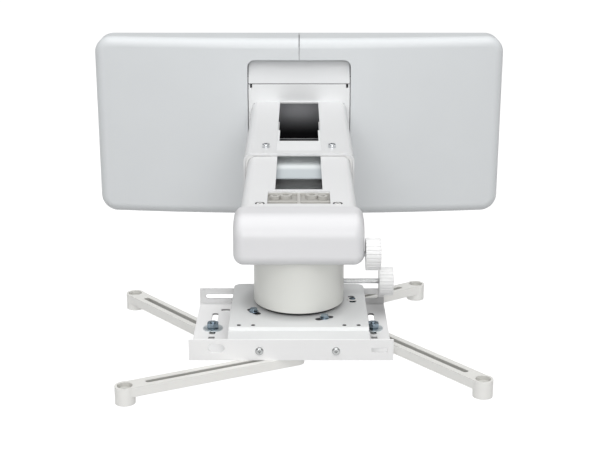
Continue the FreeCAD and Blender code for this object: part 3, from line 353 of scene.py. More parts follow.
# A dark line along the seam with the arm base, and painted shade that darkens the apron's lower part.
def apron_shade(tone, x, y, z):
    seam = 1 - ramp(tone, z, *APRON_FOOT)
    return 0.75 * seam + 0.2 * (1 - ramp(tone, z, *APRON_SHADE_FALL))


apron_powder = coated("apron_powder", APRON_WHITE, **POWDER, dark=APRON_SEAM_AND_SHADE, shade=apron_shade)
dress(apron_powder, "upper_apron")
base_powder = coated("base_powder", BASE_WHITE, **POWDER)
dress(base_powder, "arm_base")
zinc = plated("zinc_plate", ZINC_BLUE, rough=0.16, spread=0.6)
dress(zinc, "base_bolts")


# Rear sleeve and cable bridge: welded steel tube, powder coated outside. Its inside is painted
# nearly black as shade, over most of its length and all along its bottom wall, though not at the mouth.
SLEEVE_WHITE = (0.775, 0.78, 0.785)
SLEEVE_TUBE = dict(half_wide=0.058, middle=0.0109, half_high=0.0246)
SLEEVE_MOUTH = -0.3125
SLEEVE_SHADE_FALL = (0.055, 0.11)
TUBE_POWDER = dict(POWDER, rough=0.35, depth=0.00003)
TUBE_SHADE_DARK = (0.022, 0.021, 0.025)
TUBE_ROUND = 0.009
TUBE_SKIN = 0.008


def in_tube(tone, x, z, half_wide, middle, half_high):
    """1 on the inner skin of a tube with round corners, 0 on its outer skin."""
    across = tone.sum("MAXIMUM", abs(x) - (half_wide - TUBE_ROUND), 0.0)
    upward = tone.sum("MAXIMUM", abs(z - middle) - (half_high - TUBE_ROUND), 0.0)
    return across * across + upward * upward < TUBE_SKIN * TUBE_SKIN


# Painted shade: the tube's inner skin turns nearly black away from the wall and along the bottom.
def sleeve_shade(tone, x, y, z):
    inside = in_tube(tone, x, z, **SLEEVE_TUBE) * (y > SLEEVE_MOUTH)
    return inside * tone.sum("MAXIMUM", ramp(tone, -1 * y, *SLEEVE_SHADE_FALL), z < 0.0)


sleeve_powder = coated("sleeve_powder", SLEEVE_WHITE, **TUBE_POWDER, dark=TUBE_SHADE_DARK, shade=sleeve_shade)
dress(sleeve_powder, "rear_sleeve")
bridge_powder = coated("bridge_powder", BASE_WHITE, **TUBE_POWDER)
dress(bridge_powder, "cable_bridge")


# Clamp screws: two bright zinc socket screws in the sleeve's top that press on the arm. Each is
# turned from bar, with a chamfered rim and a hexagon socket, and runs down through the wall.
CLAMP_SCREWS = [(side * 0.035, -0.287, 0.0323) for side in (-1, 1)]
CLAMP_STEM = 0.003
CLAMP_HEAD = 0.004
CLAMP_RISE = 0.0032
CLAMP_HIGH = 0.0072
CLAMP_RIM = 0.0007
CLAMP_TIP = 0.0004
CLAMP_SOCKET = 0.0021
CLAMP_SOCKET_DEEP = 0.0026
BRIGHT_ZINC = (0.70, 0.72, 0.74)
HOLE_OVER = 0.001
LEVEL_SLACK = 1e-6
AXIS_SLACK = 1e-5
LEVEL_WAY = 0.01
UPRIGHT_WAY = 0.99
SMOOTH_BELOW = math.radians(35)


def hold(thing):
    """Select one piece and make it the active one."""
    deselect()
    thing.select_set(True)
    bpy.context.view_layer.objects.active = thing


def settle(thing, name, place=(0, 0, 0), turn=(0, 0, 0)):
    """Name a piece and put its place and turn into its mesh."""
    hold(thing)
    thing.name = name
    thing.location = place
    thing.rotation_euler = turn
    bpy.ops.object.transform_apply(location=True, rotation=True, scale=True)
    return thing


def pick(thing, kind, test):
    """Open a mesh, with the points, edges or faces selected whose middle and way pass a test."""
    hold(thing)
    bpy.context.tool_settings.mesh_select_mode = (kind == "VERT", kind == "EDGE", kind == "FACE")
    mesh = thing.data
    for parts in (mesh.vertices, mesh.edges, mesh.polygons):
        parts.foreach_set("select", [False] * len(parts))
    if kind == "VERT":
        for point in mesh.vertices:
            point.select = test(point.co, point.normal)
    if kind == "EDGE":
        for edge in mesh.edges:
            ends = [mesh.vertices[i].co for i in edge.vertices]
            edge.select = test((ends[0] + ends[1]) / 2, (ends[1] - ends[0]).normalized())
    if kind == "FACE":
        for face in mesh.polygons:
            face.select = test(face.center, face.normal)
    bpy.ops.object.mode_set(mode="EDIT")


def bar(radius, low, high, sides=40):
    """Round or many-sided bar up the Z axis, the start of a turned piece."""
    deselect()
    bpy.ops.mesh.primitive_cylinder_add(vertices=sides, radius=radius, depth=high - low)
    return settle(bpy.context.object, "bar", (0, 0, (low + high) / 2))


def soften(thing, level, size, steps=2):
    """Round the rim that lies level at a height."""
    pick(thing, "EDGE", lambda c, way: abs(c.z - level) < LEVEL_SLACK and abs(way.z) < LEVEL_WAY)
    bpy.ops.mesh.bevel(offset=size, segments=steps, affect="EDGES")
    bpy.ops.object.mode_set(mode="OBJECT")


def pick_end(thing, level):
    """Open a mesh with the flat face selected that closes it on the axis at a height."""
    def closes(middle, way):
        on_axis = abs(middle.z - level) < LEVEL_SLACK and middle.xy.length < AXIS_SLACK
        return on_axis and abs(way.z) > UPRIGHT_WAY

    pick(thing, "FACE", closes)


def grow(thing, level, rise, spread):
    """Draw the flat end at a height up or down, and spread or narrow it."""
    pick_end(thing, level)
    bpy.ops.mesh.extrude_region_move(TRANSFORM_OT_translate={"value": (0, 0, rise)})
    bpy.ops.transform.resize(value=(spread, spread, 1), center_override=(0, 0, 0))
    bpy.ops.object.mode_set(mode="OBJECT")


def shape_with(thing, tool, operation):
    """Cut a piece by a tool, or keep only what lies in it. The tool goes."""
    change = thing.modifiers.new("change", "BOOLEAN")
    change.object = tool
    change.operation = operation
    change.solver = "EXACT"
    hold(thing)
    bpy.ops.object.modifier_apply(modifier="change")
    bpy.data.objects.remove(tool, do_unlink=True)


def drill(thing, radius, low, high, sides):
    """Cut a round or many-sided hole up the Z axis."""
    shape_with(thing, bar(radius, low, high, sides), "DIFFERENCE")


def joined(things, name):
    """Several shapes as one piece."""
    hold(things[0])
    for thing in things:
        thing.select_set(True)
    bpy.ops.object.join()
    things[0].name = name
    return things[0]


def copy_of(model, name, place, turn=(0, 0, 0)):
    """A copy of a model, with its own mesh, at a place."""
    copy = model.copy()
    copy.data = model.data.copy()
    bpy.context.collection.objects.link(copy)
    return settle(copy, name, place, turn)


def copies(model, places, name, turn=(0, 0, 0)):
    """One piece made of copies of a model, which goes."""
    made = [copy_of(model, name, place, turn) for place in places]
    bpy.data.objects.remove(model, do_unlink=True)
    return joined(made, name)


def finish_piece(thing, finish, body, slot, *stands_for):
    """Smooth a finished piece, dress it and let it ride on its body."""
    hold(thing)
    bpy.ops.object.shade_smooth_by_angle(angle=SMOOTH_BELOW)
    thing.data.materials.clear()
    thing.data.materials.append(finish)
    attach(thing, body)
    if stands_for:
        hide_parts(*stands_for)


bright_zinc = plated("bright_zinc", BRIGHT_ZINC, rough=0.26)
screw = bar(CLAMP_STEM, 0, CLAMP_RISE)
grow(screw, CLAMP_RISE, 0, CLAMP_HEAD / CLAMP_STEM)
grow(screw, CLAMP_RISE, CLAMP_HIGH - CLAMP_RISE, spread=1)
soften(screw, CLAMP_HIGH, CLAMP_RIM, steps=3)
soften(screw, 0, CLAMP_TIP)
drill(screw, CLAMP_SOCKET, CLAMP_HIGH - CLAMP_SOCKET_DEEP, CLAMP_HIGH + HOLE_OVER, sides=6)
clamp_screws = copies(screw, CLAMP_SCREWS, "socket_screws")
finish_piece(clamp_screws, bright_zinc, "wall", "zinc", "clamp_screws")


# Glides: white low-friction plastic, a bush in the sleeve's mouth and pads at the arm's rear end.
# They are moulded, keep a slight sheen and are faintly clouded grey.
GLIDE_WHITE = (0.84, 0.84, 0.83)
glide_plastic = coated("glide_plastic", GLIDE_WHITE, rough=0.3, grain=0.0006, depth=0.00001, mottle=0.07)
dress(glide_plastic, "sleeve_pads", "arm_pads")


# Inner arm and cable deck: a second tube that slides in the sleeve, powder coated outside, with
# painted shade inside it at the rear and in the bracket screws' holes, and a pale blue-grey sheet
# across it that the cables lie on, painted lit at its rear and shaded towards its front.
ARM_WHITE = (0.825, 0.83, 0.835)
ARM_TUBE = dict(half_wide=0.0535, middle=0.01115, half_high=0.02085)
ARM_SHADE_FALL = (0.26, 0.30)
BRACKET_SCREW_X = 0.0356
BRACKET_SCREW_Y = -0.4837
SCREW_HOLE = 0.0047
SCREW_HOLE_TOP = 0.0318
DECK_LIT = (0.93, 0.97, 0.98)
DECK_SHADED = (0.6, 0.65, 0.675)
DECK_SHADE_FALL = (0.318, 0.338)


def off_screw(x, y):
    """Square of the distance from the axis of the nearer bracket screw."""
    across = abs(x) - BRACKET_SCREW_X
    along = y - BRACKET_SCREW_Y
    return across * across + along * along


# Painted shade inside the tube at the rear and on the walls of the bracket screws' holes.
def arm_shade(tone, x, y, z):
    inside = in_tube(tone, x, z, **ARM_TUBE)
    in_hole = (off_screw(x, y) < SCREW_HOLE * SCREW_HOLE) * (z < SCREW_HOLE_TOP)
    return inside * (1 - ramp(tone, -1 * y, *ARM_SHADE_FALL)) + in_hole


# Painted shade: the deck's lit colour turns to its shaded one towards the front.
def deck_shade(tone, x, y, z):
    return ramp(tone, -1 * y, *DECK_SHADE_FALL)


arm_powder = coated("arm_powder", ARM_WHITE, **dict(TUBE_POWDER, rough=0.33),
                    dark=TUBE_SHADE_DARK, shade=arm_shade)
dress(arm_powder, "inner_arm")
deck_paint = coated("deck_paint", DECK_LIT, rough=0.4, grain=0.0007, depth=0.00002, mottle=0.06,
                    dark=DECK_SHADED, shade=deck_shade)
dress(deck_paint, "cable_deck")


# Pivot bracket, hanger and yoke: zinc die castings, tumbled and left bare. The skin is pale and
# slightly sandy. The bracket has painted shade low in its pockets and painted shadow round its
# screws. Steel pins run through them.
CAST_PALE = (0.57, 0.56, 0.53)
CAST_SHADE_DARK = (0.16, 0.155, 0.145)
CAST = dict(rough=0.5, grain=0.0013, depth=0.00009, mottle=0.1, edge_light=0.1)
SCREW_GAP_SHADOW_RIM = (0.0000205, 0.0000225)
POCKET_SHADE_RIM = (0.0262, 0.0285)
PIN_STEEL = (0.55, 0.55, 0.54)


# Painted shadow round the screws and painted shade low in the bracket's pockets.
def pocket_shade(tone, x, y, z):
    gap_shadow = 1 - ramp(tone, off_screw(x, y), *SCREW_GAP_SHADOW_RIM)
    return tone.sum("MAXIMUM", gap_shadow, 0.7 * (1 - ramp(tone, z, *POCKET_SHADE_RIM)))


casting = coated("casting", CAST_PALE, **CAST)
pocketed = coated("pocketed_casting", CAST_PALE, **CAST, dark=CAST_SHADE_DARK, shade=pocket_shade)
dress(pocketed, "pivot_bracket")
dress(casting, "hanger_block", "neck_yoke")
steel = plated("pin_steel", PIN_STEEL, rough=0.32, patches=180.0)
dress(steel, "roll_pin", "pitch_pins", "clamp_disc", "yaw_nut")


# Bracket screws: two white painted screws that hold the bracket under the arm's top, each flush
# in an oversize hole. The head is slightly domed, with a hexagon socket. The heads' sides are
# painted dark as the shade in the gap round them.
BRACKET_SCREWS = [(side * BRACKET_SCREW_X, BRACKET_SCREW_Y, 0.0251) for side in (-1, 1)]
BRACKET_STEM = 0.00165
BRACKET_HEAD = 0.0033
BRACKET_RISE = 0.0049
BRACKET_RIM = 0.0063
BRACKET_DOME = 0.0006
BRACKET_SOCKET = 0.0019
BRACKET_SOCKET_LOW = 0.0055
BRACKET_SOCKET_TOP = 0.0085
SCREW_WHITE = (0.80, 0.80, 0.79)
SCREW_SIDE_SHADE = (0.02, 0.0312)


# Painted shade on the heads' sides, in the gap round each screw.
def rim_shade(tone, x, y, z):
    return (z > SCREW_SIDE_SHADE[0]) * (z < SCREW_SIDE_SHADE[1])


screw_paint = coated("screw_paint", SCREW_WHITE, rough=0.4, grain=0.0008, depth=0.00002, edge=0.0002,
                     edge_light=-0.3, dark=CAST_SHADE_DARK, shade=rim_shade)
screw = bar(BRACKET_STEM, 0, BRACKET_RISE)
grow(screw, BRACKET_RISE, 0, BRACKET_HEAD / BRACKET_STEM)
grow(screw, BRACKET_RISE, BRACKET_RIM - BRACKET_RISE, spread=1)
grow(screw, BRACKET_RIM, BRACKET_DOME, spread=0.8)
drill(screw, BRACKET_SOCKET, BRACKET_SOCKET_LOW, BRACKET_SOCKET_TOP, sides=6)
bracket_screws = copies(screw, BRACKET_SCREWS, "flush_screws")
finish_piece(bracket_screws, screw_paint, "arm", "screw_white", "bracket_screws")


# End cap: a glossy white moulding pushed over the front of the arm, with large rounded corners
# and the neck's hole in its underside.
CAP_WHITE = (0.795, 0.795, 0.81)
CAP_SHADE = (0.5, 0.5, 0.51)
CAP_SIDES = (0.05, 0.0605)
CAP_BROW = (0.018, 0.03)


def cap_shade(tone, x, y, z):
    return 0.36 * ramp(tone, abs(x), *CAP_SIDES) + 0.16 * ramp(tone, z, *CAP_BROW)


cap_plastic = coated("cap_plastic", CAP_WHITE, rough=0.4, grain=0.0006, depth=0.00001, coat=0.04,
                     mottle=0.015, dark=CAP_SHADE, shade=cap_shade)
dress(cap_plastic, "end_cap")


# Roll adjuster: a plated threaded rod through the cap's side, turned by a ribbed white knob that
# is moulded on its end. The knob's outer face is dished, with a low boss in the middle.
ROLL_AXIS = (0.0055, -0.528, -0.0019)
ROLL_KNOB_X = 0.0593
ROLL_KNOB = 0.0292
KNOB_THICK = 0.0134
KNOB_RIBS = 24
KNOB_GROOVE = 0.955
KNOB_BACK = 0.0006
KNOB_FRONT = 0.0008
KNOB_DISH = 0.0012
KNOB_BOSS = 0.0007
KNOB_WHITE = (0.87, 0.87, 0.87)
SCREW_CORE = 0.0022
THREAD_PITCH = 0.0006
THREAD_STEPS = 24
THREAD_TIP = 0.0004
THREAD_ZINC = (0.80, 0.81, 0.82)
WELD = 1e-7
ALONG_X = (0, math.pi / 2, 0)
FACING_OUT = (math.pi / 2, 0, 0)


def threaded(length, core, pitch):
    """Threaded rod up the Z axis: a small tooth driven round and up by the Screw modifier."""
    deselect()
    bpy.ops.mesh.primitive_circle_add(vertices=4, radius=pitch / 2)
    tooth = settle(bpy.context.object, "tooth", (core, 0, pitch / 2), FACING_OUT)
    pick(tooth, "VERT", lambda c, way: c.x < core - pitch / 4)
    bpy.ops.mesh.delete(type="VERT")
    bpy.ops.object.mode_set(mode="OBJECT")
    drive = tooth.modifiers.new("drive", "SCREW")
    drive.axis = "Z"
    drive.screw_offset = pitch
    drive.iterations = int(length / pitch) - 1
    drive.steps = THREAD_STEPS
    drive.render_steps = THREAD_STEPS
    drive.use_merge_vertices = True
    bpy.ops.object.modifier_apply(modifier="drive")
    pick(tooth, "VERT", lambda c, way: True)
    bpy.ops.mesh.remove_doubles(threshold=WELD)
    bpy.ops.mesh.fill_holes(sides=0)
    bpy.ops.mesh.normals_make_consistent(inside=False)
    bpy.ops.object.mode_set(mode="OBJECT")
    middle = bar(core + pitch * 0.1, 0, length, THREAD_STEPS)
    soften(middle, 0, THREAD_TIP)
    soften(middle, length, THREAD_TIP)
    return joined([tooth, middle], "thread")


def ribbed_knob(width, thick, ribs):
    """Knob up the Z axis, with grooves pressed into its rim and a dished outer face."""
    moulding = bar(width / 2, 0, thick, ribs * 6)
    step = math.tau / ribs

    def in_groove(point, way):
        turn = math.atan2(point.y, point.x) % step
        return min(turn, step - turn) < step / 12

    pick(moulding, "VERT", in_groove)
    bpy.ops.transform.resize(value=(KNOB_GROOVE, KNOB_GROOVE, 1), center_override=(0, 0, 0))
    bpy.ops.object.mode_set(mode="OBJECT")
    soften(moulding, 0, KNOB_BACK)
    soften(moulding, thick, KNOB_FRONT, steps=3)
    grow(moulding, thick, 0, spread=0.85)
    grow(moulding, thick, -KNOB_DISH, spread=0.97)
    grow(moulding, thick - KNOB_DISH, 0, spread=0.55)
    grow(moulding, thick - KNOB_DISH, KNOB_BOSS, spread=0.93)
    return moulding


def adjuster(name, axis, knob_x, wide):
    """Rod along X from its inner end to its knob, and the knob."""
    rod = threaded(knob_x - axis[0], SCREW_CORE, THREAD_PITCH)
    settle(rod, f"{name}_thread", axis, ALONG_X)
    finish_piece(rod, thread_zinc, f"{name}_adjuster", "zinc", f"{name}_screw")
    knob = ribbed_knob(wide, KNOB_THICK, KNOB_RIBS)
    settle(knob, f"{name}_grip", (knob_x, axis[1], axis[2]), ALONG_X)
    finish_piece(knob, knob_plastic, f"{name}_adjuster", "knob_white", f"{name}_knob")


thread_zinc = plated("thread_zinc", THREAD_ZINC, rough=0.34, patches=400.0)
knob_plastic = coated("knob_plastic", KNOB_WHITE, rough=0.34, grain=0.0006, depth=0.00002, edge=0.0003,
                      mottle=0.02)
adjuster("roll", ROLL_AXIS, ROLL_KNOB_X, ROLL_KNOB)


# Neck: a drawn steel tube in warm pale grey powder, over the yoke that carries the weight. It
# hangs from the hanger's pins, and the sled below it turns on a nylon ring, coloured black as
# painted shadow in the gap under the neck.
NECK_GREY = (0.745, 0.75, 0.715)
SHADOW_BLACK_NYLON = (0.035, 0.035, 0.037)
neck_powder = coated("neck_powder", NECK_GREY, rough=0.38, grain=0.0008, depth=0.00002, mottle=0.02)
dress(neck_powder, "neck_cover")
ring_nylon = coated("ring_nylon", SHADOW_BLACK_NYLON, rough=0.45, grain=0.0007, depth=0.00003, mottle=0.2)
dress(ring_nylon, "swivel_ring")


# Swivel bolts: hexagon bolts with washers through the sled's arc slots into the clamp disc below.
# The heads are cold formed, chamfered at the corners and blue zinc plated.
SWIVEL_BOLTS = [(-0.04096, -0.51868, 0), (0.02309, -0.53435, 0)]
SWIVEL_SMALL = (0.04988, -0.48651, 0)
SWIVEL_STEM = 0.0025
SWIVEL_WASHER = 0.0006
SWIVEL_WASHER_WIDE = 0.0042
SLED_TOP = -0.06045
DISC_LOW = -0.067
HEAD_FLATS = 0.0065
HEAD_HIGH = 0.0026
HEAD_RIM = 0.12
HEAD_DISH = 0.0004
LOW_HEAD = 0.003
LOW_RIM = 0.0007
LOW_DOME = 0.0006
LOW_SOCKET = 0.0013
LOW_SOCKET_FLOOR = 0.0004
LOW_SOCKET_TOP = 0.004
PLAIN_WIDE = 0.0052
PLAIN_THICK = 0.0004
DARK_ZINC = (0.10, 0.13, 0.16)
HEXAGON_CHAMFER = 0.06
ENVELOPE = 1.001
STEM_SIDES = 24
BORE_SIDES = 32
FINE_SIDES = 48


def hexagon(flats, low, high):
    """Hexagon bar up the Z axis, with its corners turned off at both ends."""
    corner = flats / math.sqrt(3)
    piece = bar(corner, low, high, sides=6)
    envelope = bar(corner * ENVELOPE, low, high, FINE_SIDES)
    soften(envelope, low, flats * HEXAGON_CHAMFER, steps=1)
    soften(envelope, high, flats * HEXAGON_CHAMFER, steps=1)
    shape_with(piece, envelope, "INTERSECT")
    return piece


def washer(wide, hole, low, high):
    """Flat washer with rounded rims."""
    piece = bar(wide, low, high, FINE_SIDES)
    soften(piece, low, (high - low) / 4)
    soften(piece, high, (high - low) / 4)
    drill(piece, hole, low - HOLE_OVER, high + HOLE_OVER, BORE_SIDES)
    return piece


head_low = SLED_TOP + SWIVEL_WASHER
head_top = head_low + HEAD_HIGH
head = hexagon(HEAD_FLATS, head_low, head_top)
pick_end(head, head_top)
bpy.ops.mesh.inset(thickness=HEAD_FLATS * HEAD_RIM)
bpy.ops.object.mode_set(mode="OBJECT")
grow(head, head_top, -HEAD_DISH, spread=0.9)
shank = bar(SWIVEL_STEM, DISC_LOW, head_low, STEM_SIDES)
flat = washer(SWIVEL_WASHER_WIDE, SWIVEL_STEM, SLED_TOP, head_low)
bolt = joined([head, shank, flat], "hexagon_bolt")
swivel_bolts = copies(bolt, SWIVEL_BOLTS, "swivel_bolts_turned")
finish_piece(swivel_bolts, zinc, "neck", "zinc", "swivel_bolts")

low_head = bar(LOW_HEAD, SLED_TOP, SLED_TOP + LOW_RIM)
grow(low_head, SLED_TOP + LOW_RIM, LOW_DOME, spread=0.72)
drill(low_head, LOW_SOCKET, SLED_TOP + LOW_SOCKET_FLOOR, SLED_TOP + LOW_SOCKET_TOP, sides=6)
shank = bar(SWIVEL_STEM, DISC_LOW, SLED_TOP, STEM_SIDES)
low_bolt = joined([low_head, shank], "low_bolt")
settle(low_bolt, "swivel_low_bolt", SWIVEL_SMALL)
dark_zinc = plated("dark_zinc", DARK_ZINC, rough=0.34)
finish_piece(low_bolt, dark_zinc, "neck", "zinc")
plain = washer(PLAIN_WIDE, SWIVEL_STEM, SLED_TOP, SLED_TOP + PLAIN_THICK)
settle(plain, "swivel_plain_washer", SWIVEL_SMALL)
finish_piece(plain, screw_paint, "neck", "screw_white")


# Spindle nut: the large plated lock nut under the disc that the whole projector hangs from. It is
# cold formed, chamfered at both ends and screwed on the yoke's spindle.
SPINDLE = (0, -0.49, 0)
SPINDLE_LOW = -0.073
SPINDLE_HIGH = -0.067
SPINDLE_FLATS = 0.0208
SPINDLE_BORE = 0.008

nut = hexagon(SPINDLE_FLATS, SPINDLE_LOW, SPINDLE_HIGH)
drill(nut, SPINDLE_BORE, SPINDLE_LOW - HOLE_OVER, SPINDLE_HIGH + HOLE_OVER, FINE_SIDES)
settle(nut, "spindle_lock_nut", SPINDLE)
finish_piece(nut, zinc, "neck", "zinc", "spindle_nut")


# Yaw adjuster: a second threaded rod, through the neck's wall into the nut on the sled's post,
# with a slightly smaller knob of the same kind.
YAW_AXIS = (-0.009, -0.468, -0.0492)
YAW_KNOB_X = 0.0754
YAW_KNOB = 0.027

adjuster("yaw", YAW_AXIS, YAW_KNOB_X, YAW_KNOB)


# Sled and tray: folded steel plates in white powder, with holes and slots whose walls are painted
# dark as shade. The sled has painted shadow round the neck's foot and at its left rear, and the tray
# painted shade in its right rear corner and on its rear flange. The sled turns under the neck, and
# the tray slides across it on screws.
SLED_WHITE = (0.775, 0.785, 0.785)
SLED_PLATE = dict(middle=0.0, half=0.0605, front=-0.5545, rear=-0.4465, low=-0.0632, high=-0.0607)
NECK_SHADOW_RIM = (0.0018, 0.0034)
SLED_SHADOW_SIDE = (0.03, 0.05)
SLED_SHADOW_REAR = (-0.53, -0.49)
TRAY_WHITE = (0.92, 0.92, 0.92)
TRAY_PLATE = dict(middle=-0.0066, half=0.0865, front=-0.5805, rear=-0.451, low=-0.0803, high=-0.0787)
TRAY_SHADE_RIGHT = (0.055, 0.075)
TRAY_SHADE_REAR = (-0.51, -0.47)
TRAY_FLOOR_SKIN = -0.072
REAR_FLANGE_SHADE = (-0.456, -0.452)
PLATE_SHADE_DARK = (0.09, 0.09, 0.092)


def cut_edge(x, y, z, middle, half, front, rear, low, high):
    """1 on the edges of the holes in a level plate: between its two skins and inside its rim."""
    return (abs(x - middle) < half) * (y > front) * (y < rear) * (z < high) * (z > low)


# Painted shade on the hole walls, and painted shadow round the neck's foot and at the left rear.
def sled_shade(tone, x, y, z):
    along = y - SPINDLE[1]
    off_neck = x * x + along * along
    neck_shadow = (1 - ramp(tone, off_neck, *NECK_SHADOW_RIM)) * (1 - ramp(tone, x, *SLED_SHADOW_SIDE))
    left_rear = ramp(tone, -1 * x, *SLED_SHADOW_SIDE) * ramp(tone, y, *SLED_SHADOW_REAR)
    return cut_edge(x, y, z, **SLED_PLATE) + 0.32 * neck_shadow + 0.16 * left_rear


# Painted shade on the hole walls, in the right rear corner of the floor and on the rear flange.
def tray_shade(tone, x, y, z):
    corner = ramp(tone, x, *TRAY_SHADE_RIGHT) * ramp(tone, y, *TRAY_SHADE_REAR) * (z < TRAY_FLOOR_SKIN)
    shaded = 0.34 * corner + 0.24 * ramp(tone, y, *REAR_FLANGE_SHADE)
    return 0.7 * cut_edge(x, y, z, **TRAY_PLATE) + shaded


sled_powder = coated("sled_powder", SLED_WHITE, **POWDER, dark=PLATE_SHADE_DARK, shade=sled_shade)
dress(sled_powder, "sled")
tray_powder = coated("tray_powder", TRAY_WHITE, **POWDER, dark=PLATE_SHADE_DARK, shade=tray_shade)
dress(tray_powder, "tray")


# Tray screws: pan heads with a cross recess, two on the front flange and two on the rear one,
# bright zinc plated, with a nut behind each front one.
FRONT_SCREWS = [(x, -0.583, -0.0716) for x in (-0.034, 0.0322)]
FRONT_NUT = 0.0061
FRONT_NUT_FLATS = 0.0066
FRONT_NUT_THICK = 0.003
FRONT_END = 0.0092
REAR_SCREWS = [(x, -0.4487, -0.07135) for x in (-0.037, 0.037)]
REAR_END = 0.0051
PAN_HEAD = 0.0035
PAN_RISE = 0.0022
PAN_STEM = 0.002
PAN_RIM = 0.45
PAN_DOME = ((0.3, 0.95), (0.17, 0.87), (0.08, 0.74))
PAN_ZINC = (0.42, 0.43, 0.43)
BLADE_LONG = 1.15
BLADE_WIDE = 0.3
BLADE_HIGH = 1.4
BLADE_TAPER = 0.45
FACING_WALL = (-math.pi / 2, 0, 0)


def pan_head(wide, rise):
    """Domed screw head up the Z axis, with a tapered cross recess."""
    level = rise * PAN_RIM
    head = bar(wide, 0, level)
    for step, spread in PAN_DOME:
        grow(head, level, step * rise, spread)
        level += step * rise
    for turn in (0, math.pi / 2):
        deselect()
        bpy.ops.mesh.primitive_cube_add(size=1)
        blade = bpy.context.object
        blade.scale = (wide * BLADE_LONG, wide * BLADE_WIDE, rise * BLADE_HIGH)
        settle(blade, "blade", (0, 0, rise), (0, 0, turn))
        pick(blade, "FACE", lambda c, way: way.z < -UPRIGHT_WAY)
        bpy.ops.transform.resize(value=(BLADE_TAPER, BLADE_TAPER, 1), center_override=(0, 0, 0))
        bpy.ops.object.mode_set(mode="OBJECT")
        shape_with(head, blade, "DIFFERENCE")
    return head


pan_zinc = plated("pan_zinc", PAN_ZINC, rough=0.3)
pan = pan_head(PAN_HEAD, PAN_RISE)
stem = bar(PAN_STEM, -FRONT_END, 0, STEM_SIDES)
back_nut = hexagon(FRONT_NUT_FLATS, -FRONT_NUT - FRONT_NUT_THICK, -FRONT_NUT)
front_screw = joined([pan, stem, back_nut], "front_screw")
front_screws = copies(front_screw, FRONT_SCREWS, "cross_screws_front", FACING_OUT)
finish_piece(front_screws, pan_zinc, "tray", "zinc", "front_screws")
pan = pan_head(PAN_HEAD * 1.2, PAN_RISE * 0.9)
stem = bar(PAN_STEM, -REAR_END, 0, STEM_SIDES)
rear_screw = joined([pan, stem], "rear_screw")
rear_screws = copies(rear_screw, REAR_SCREWS, "cross_screws_rear", FACING_WALL)
finish_piece(rear_screws, pan_zinc, "sled", "zinc", "rear_guide_screws")


# Legs: slotted cast bars in warm white powder, each with a bored foot for one of the projector's
# screws. The slots and foot recesses are painted grey as shade, and the upper faces a little darker
# as shade.
LEG_WHITE = (0.93, 0.925, 0.895)
LEG_SHADE_GREY = (0.45, 0.445, 0.42)
LEG_POWDER = dict(POWDER, rough=0.38, depth=0.00005, mottle=0.04)
LEG_LENGTH = 0.156
LEG_TOP = -0.0807
SLOT_LENGTH = 0.1405
SLOT_HALF = 0.0029
SLOT_TOP = -0.0811
GROOVE_HALF = 0.0056
GROOVE_HIGH = -0.0847
GROOVE_LOW = -0.0888
FOOT_RECESS = 0.0072
FOOT_TOP = -0.0808
CLAMP_POINTS = {
    "left_front": (-0.010, -0.5705, 0),
    "right_front": (0.0679, -0.515, 0),
    "left_rear": (-0.0786, -0.515, 0),
    "right_rear": (0.0, -0.468, 0),
}
LEG_TURNS = {"left_front": 205.4, "right_front": -50.75, "left_rear": 130.3, "right_rear": 33.5}
LEG_REACH = {"left_front": 0.1483, "right_front": 0.1369, "left_rear": 0.1291, "right_rear": 0.1414}

for corner, place in CLAMP_POINTS.items():
    bolt_x, bolt_y = place[:2]
    turn = math.radians(LEG_TURNS[corner])
    inner_end = LEG_LENGTH - LEG_REACH[corner]

    # Painted shade in the slots and foot recesses, and on the legs' upper faces.
    def slot_shade(tone, x, y, z):
        along = (x - bolt_x) * math.cos(turn) + (y - bolt_y) * math.sin(turn) + inner_end
        across = abs((y - bolt_y) * math.cos(turn) - (x - bolt_x) * math.sin(turn))
        in_groove = (across < GROOVE_HALF) * (z < GROOVE_HIGH) * (z > GROOVE_LOW)
        in_slot = (across < SLOT_HALF) * (z < SLOT_TOP) + in_groove
        in_slot = in_slot * (along > 0.0) * (along < SLOT_LENGTH)
        off_foot = (along - LEG_LENGTH) * (along - LEG_LENGTH) + across * across
        in_foot = (off_foot < FOOT_RECESS * FOOT_RECESS) * (z < FOOT_TOP)
        return in_slot + 0.6 * in_foot + 0.34 * (z > LEG_TOP)

    leg_powder = coated(f"leg_powder_{corner}", LEG_WHITE, **LEG_POWDER,
                        dark=LEG_SHADE_GREY, shade=slot_shade)
    dress(leg_powder, f"leg_{corner}")


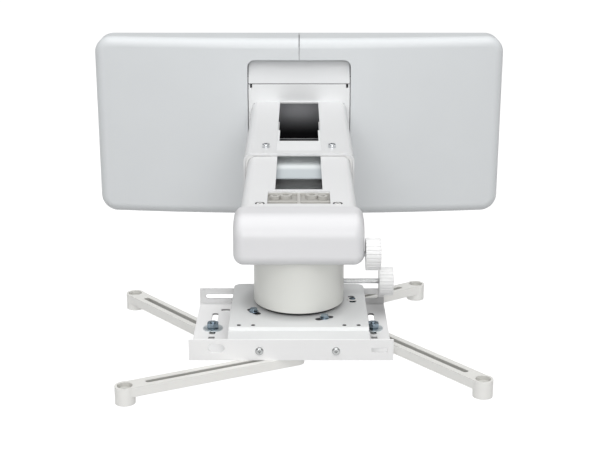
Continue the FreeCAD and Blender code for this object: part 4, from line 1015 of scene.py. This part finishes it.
# Leg clamps: a bolt up through each leg's slot, with a wide washer and a nut in the tray. All are
# blue zinc plated. The washers are paler, and the bolt's thread shows above the nut.
NUT_BODIES = {
    "left_front": "holder_left_front",
    "right_front": "clamp_right_front",
    "left_rear": "clamp_left_rear",
    "right_rear": "holder_right_rear",
}
GROOVE_TOP = -0.0848
TRAY_FLOOR = -0.0785
WASHER_THICK = 0.001
WASHER_WIDE = 0.009
WASHER_ZINC = (0.72, 0.78, 0.82)
NUT_FLATS = 0.01
NUT_HIGH = 0.005
NUT_BORE = 0.0026
BOLT_TIP = -0.0715
LEG_HEAD = 0.008
LEG_HEAD_HIGH = 0.0035
SKIN_GAP = 0.00005

washer_zinc = plated("washer_zinc", WASHER_ZINC, rough=0.36, patches=200.0)
nut_low = TRAY_FLOOR + WASHER_THICK
nut_high = nut_low + NUT_HIGH
nut = hexagon(NUT_FLATS, nut_low, nut_high)
drill(nut, NUT_BORE, nut_low - HOLE_OVER, nut_high + HOLE_OVER, BORE_SIDES)
flat = washer(WASHER_WIDE, NUT_BORE, TRAY_FLOOR + SKIN_GAP, nut_low)
head = hexagon(LEG_HEAD, GROOVE_TOP - LEG_HEAD_HIGH, GROOVE_TOP - SKIN_GAP)
thread = threaded(BOLT_TIP - GROOVE_TOP, SCREW_CORE, THREAD_PITCH)
settle(thread, "thread", (0, 0, GROOVE_TOP))
bolt = joined([head, thread], "bolt")
for corner, place in CLAMP_POINTS.items():
    lock_nut = copy_of(nut, f"lock_nut_{corner}", place)
    finish_piece(lock_nut, zinc, NUT_BODIES[corner], "zinc", f"clamp_nut_{corner}")
    wide_washer = copy_of(flat, f"wide_washer_{corner}", place)
    finish_piece(wide_washer, washer_zinc, NUT_BODIES[corner], "zinc")
    leg_bolt = copy_of(bolt, f"leg_bolt_{corner}", place)
    finish_piece(leg_bolt, zinc, f"holder_{corner}", "zinc", f"clamp_bolt_{corner}")
for model in (nut, flat, bolt):
    bpy.data.objects.remove(model, do_unlink=True)
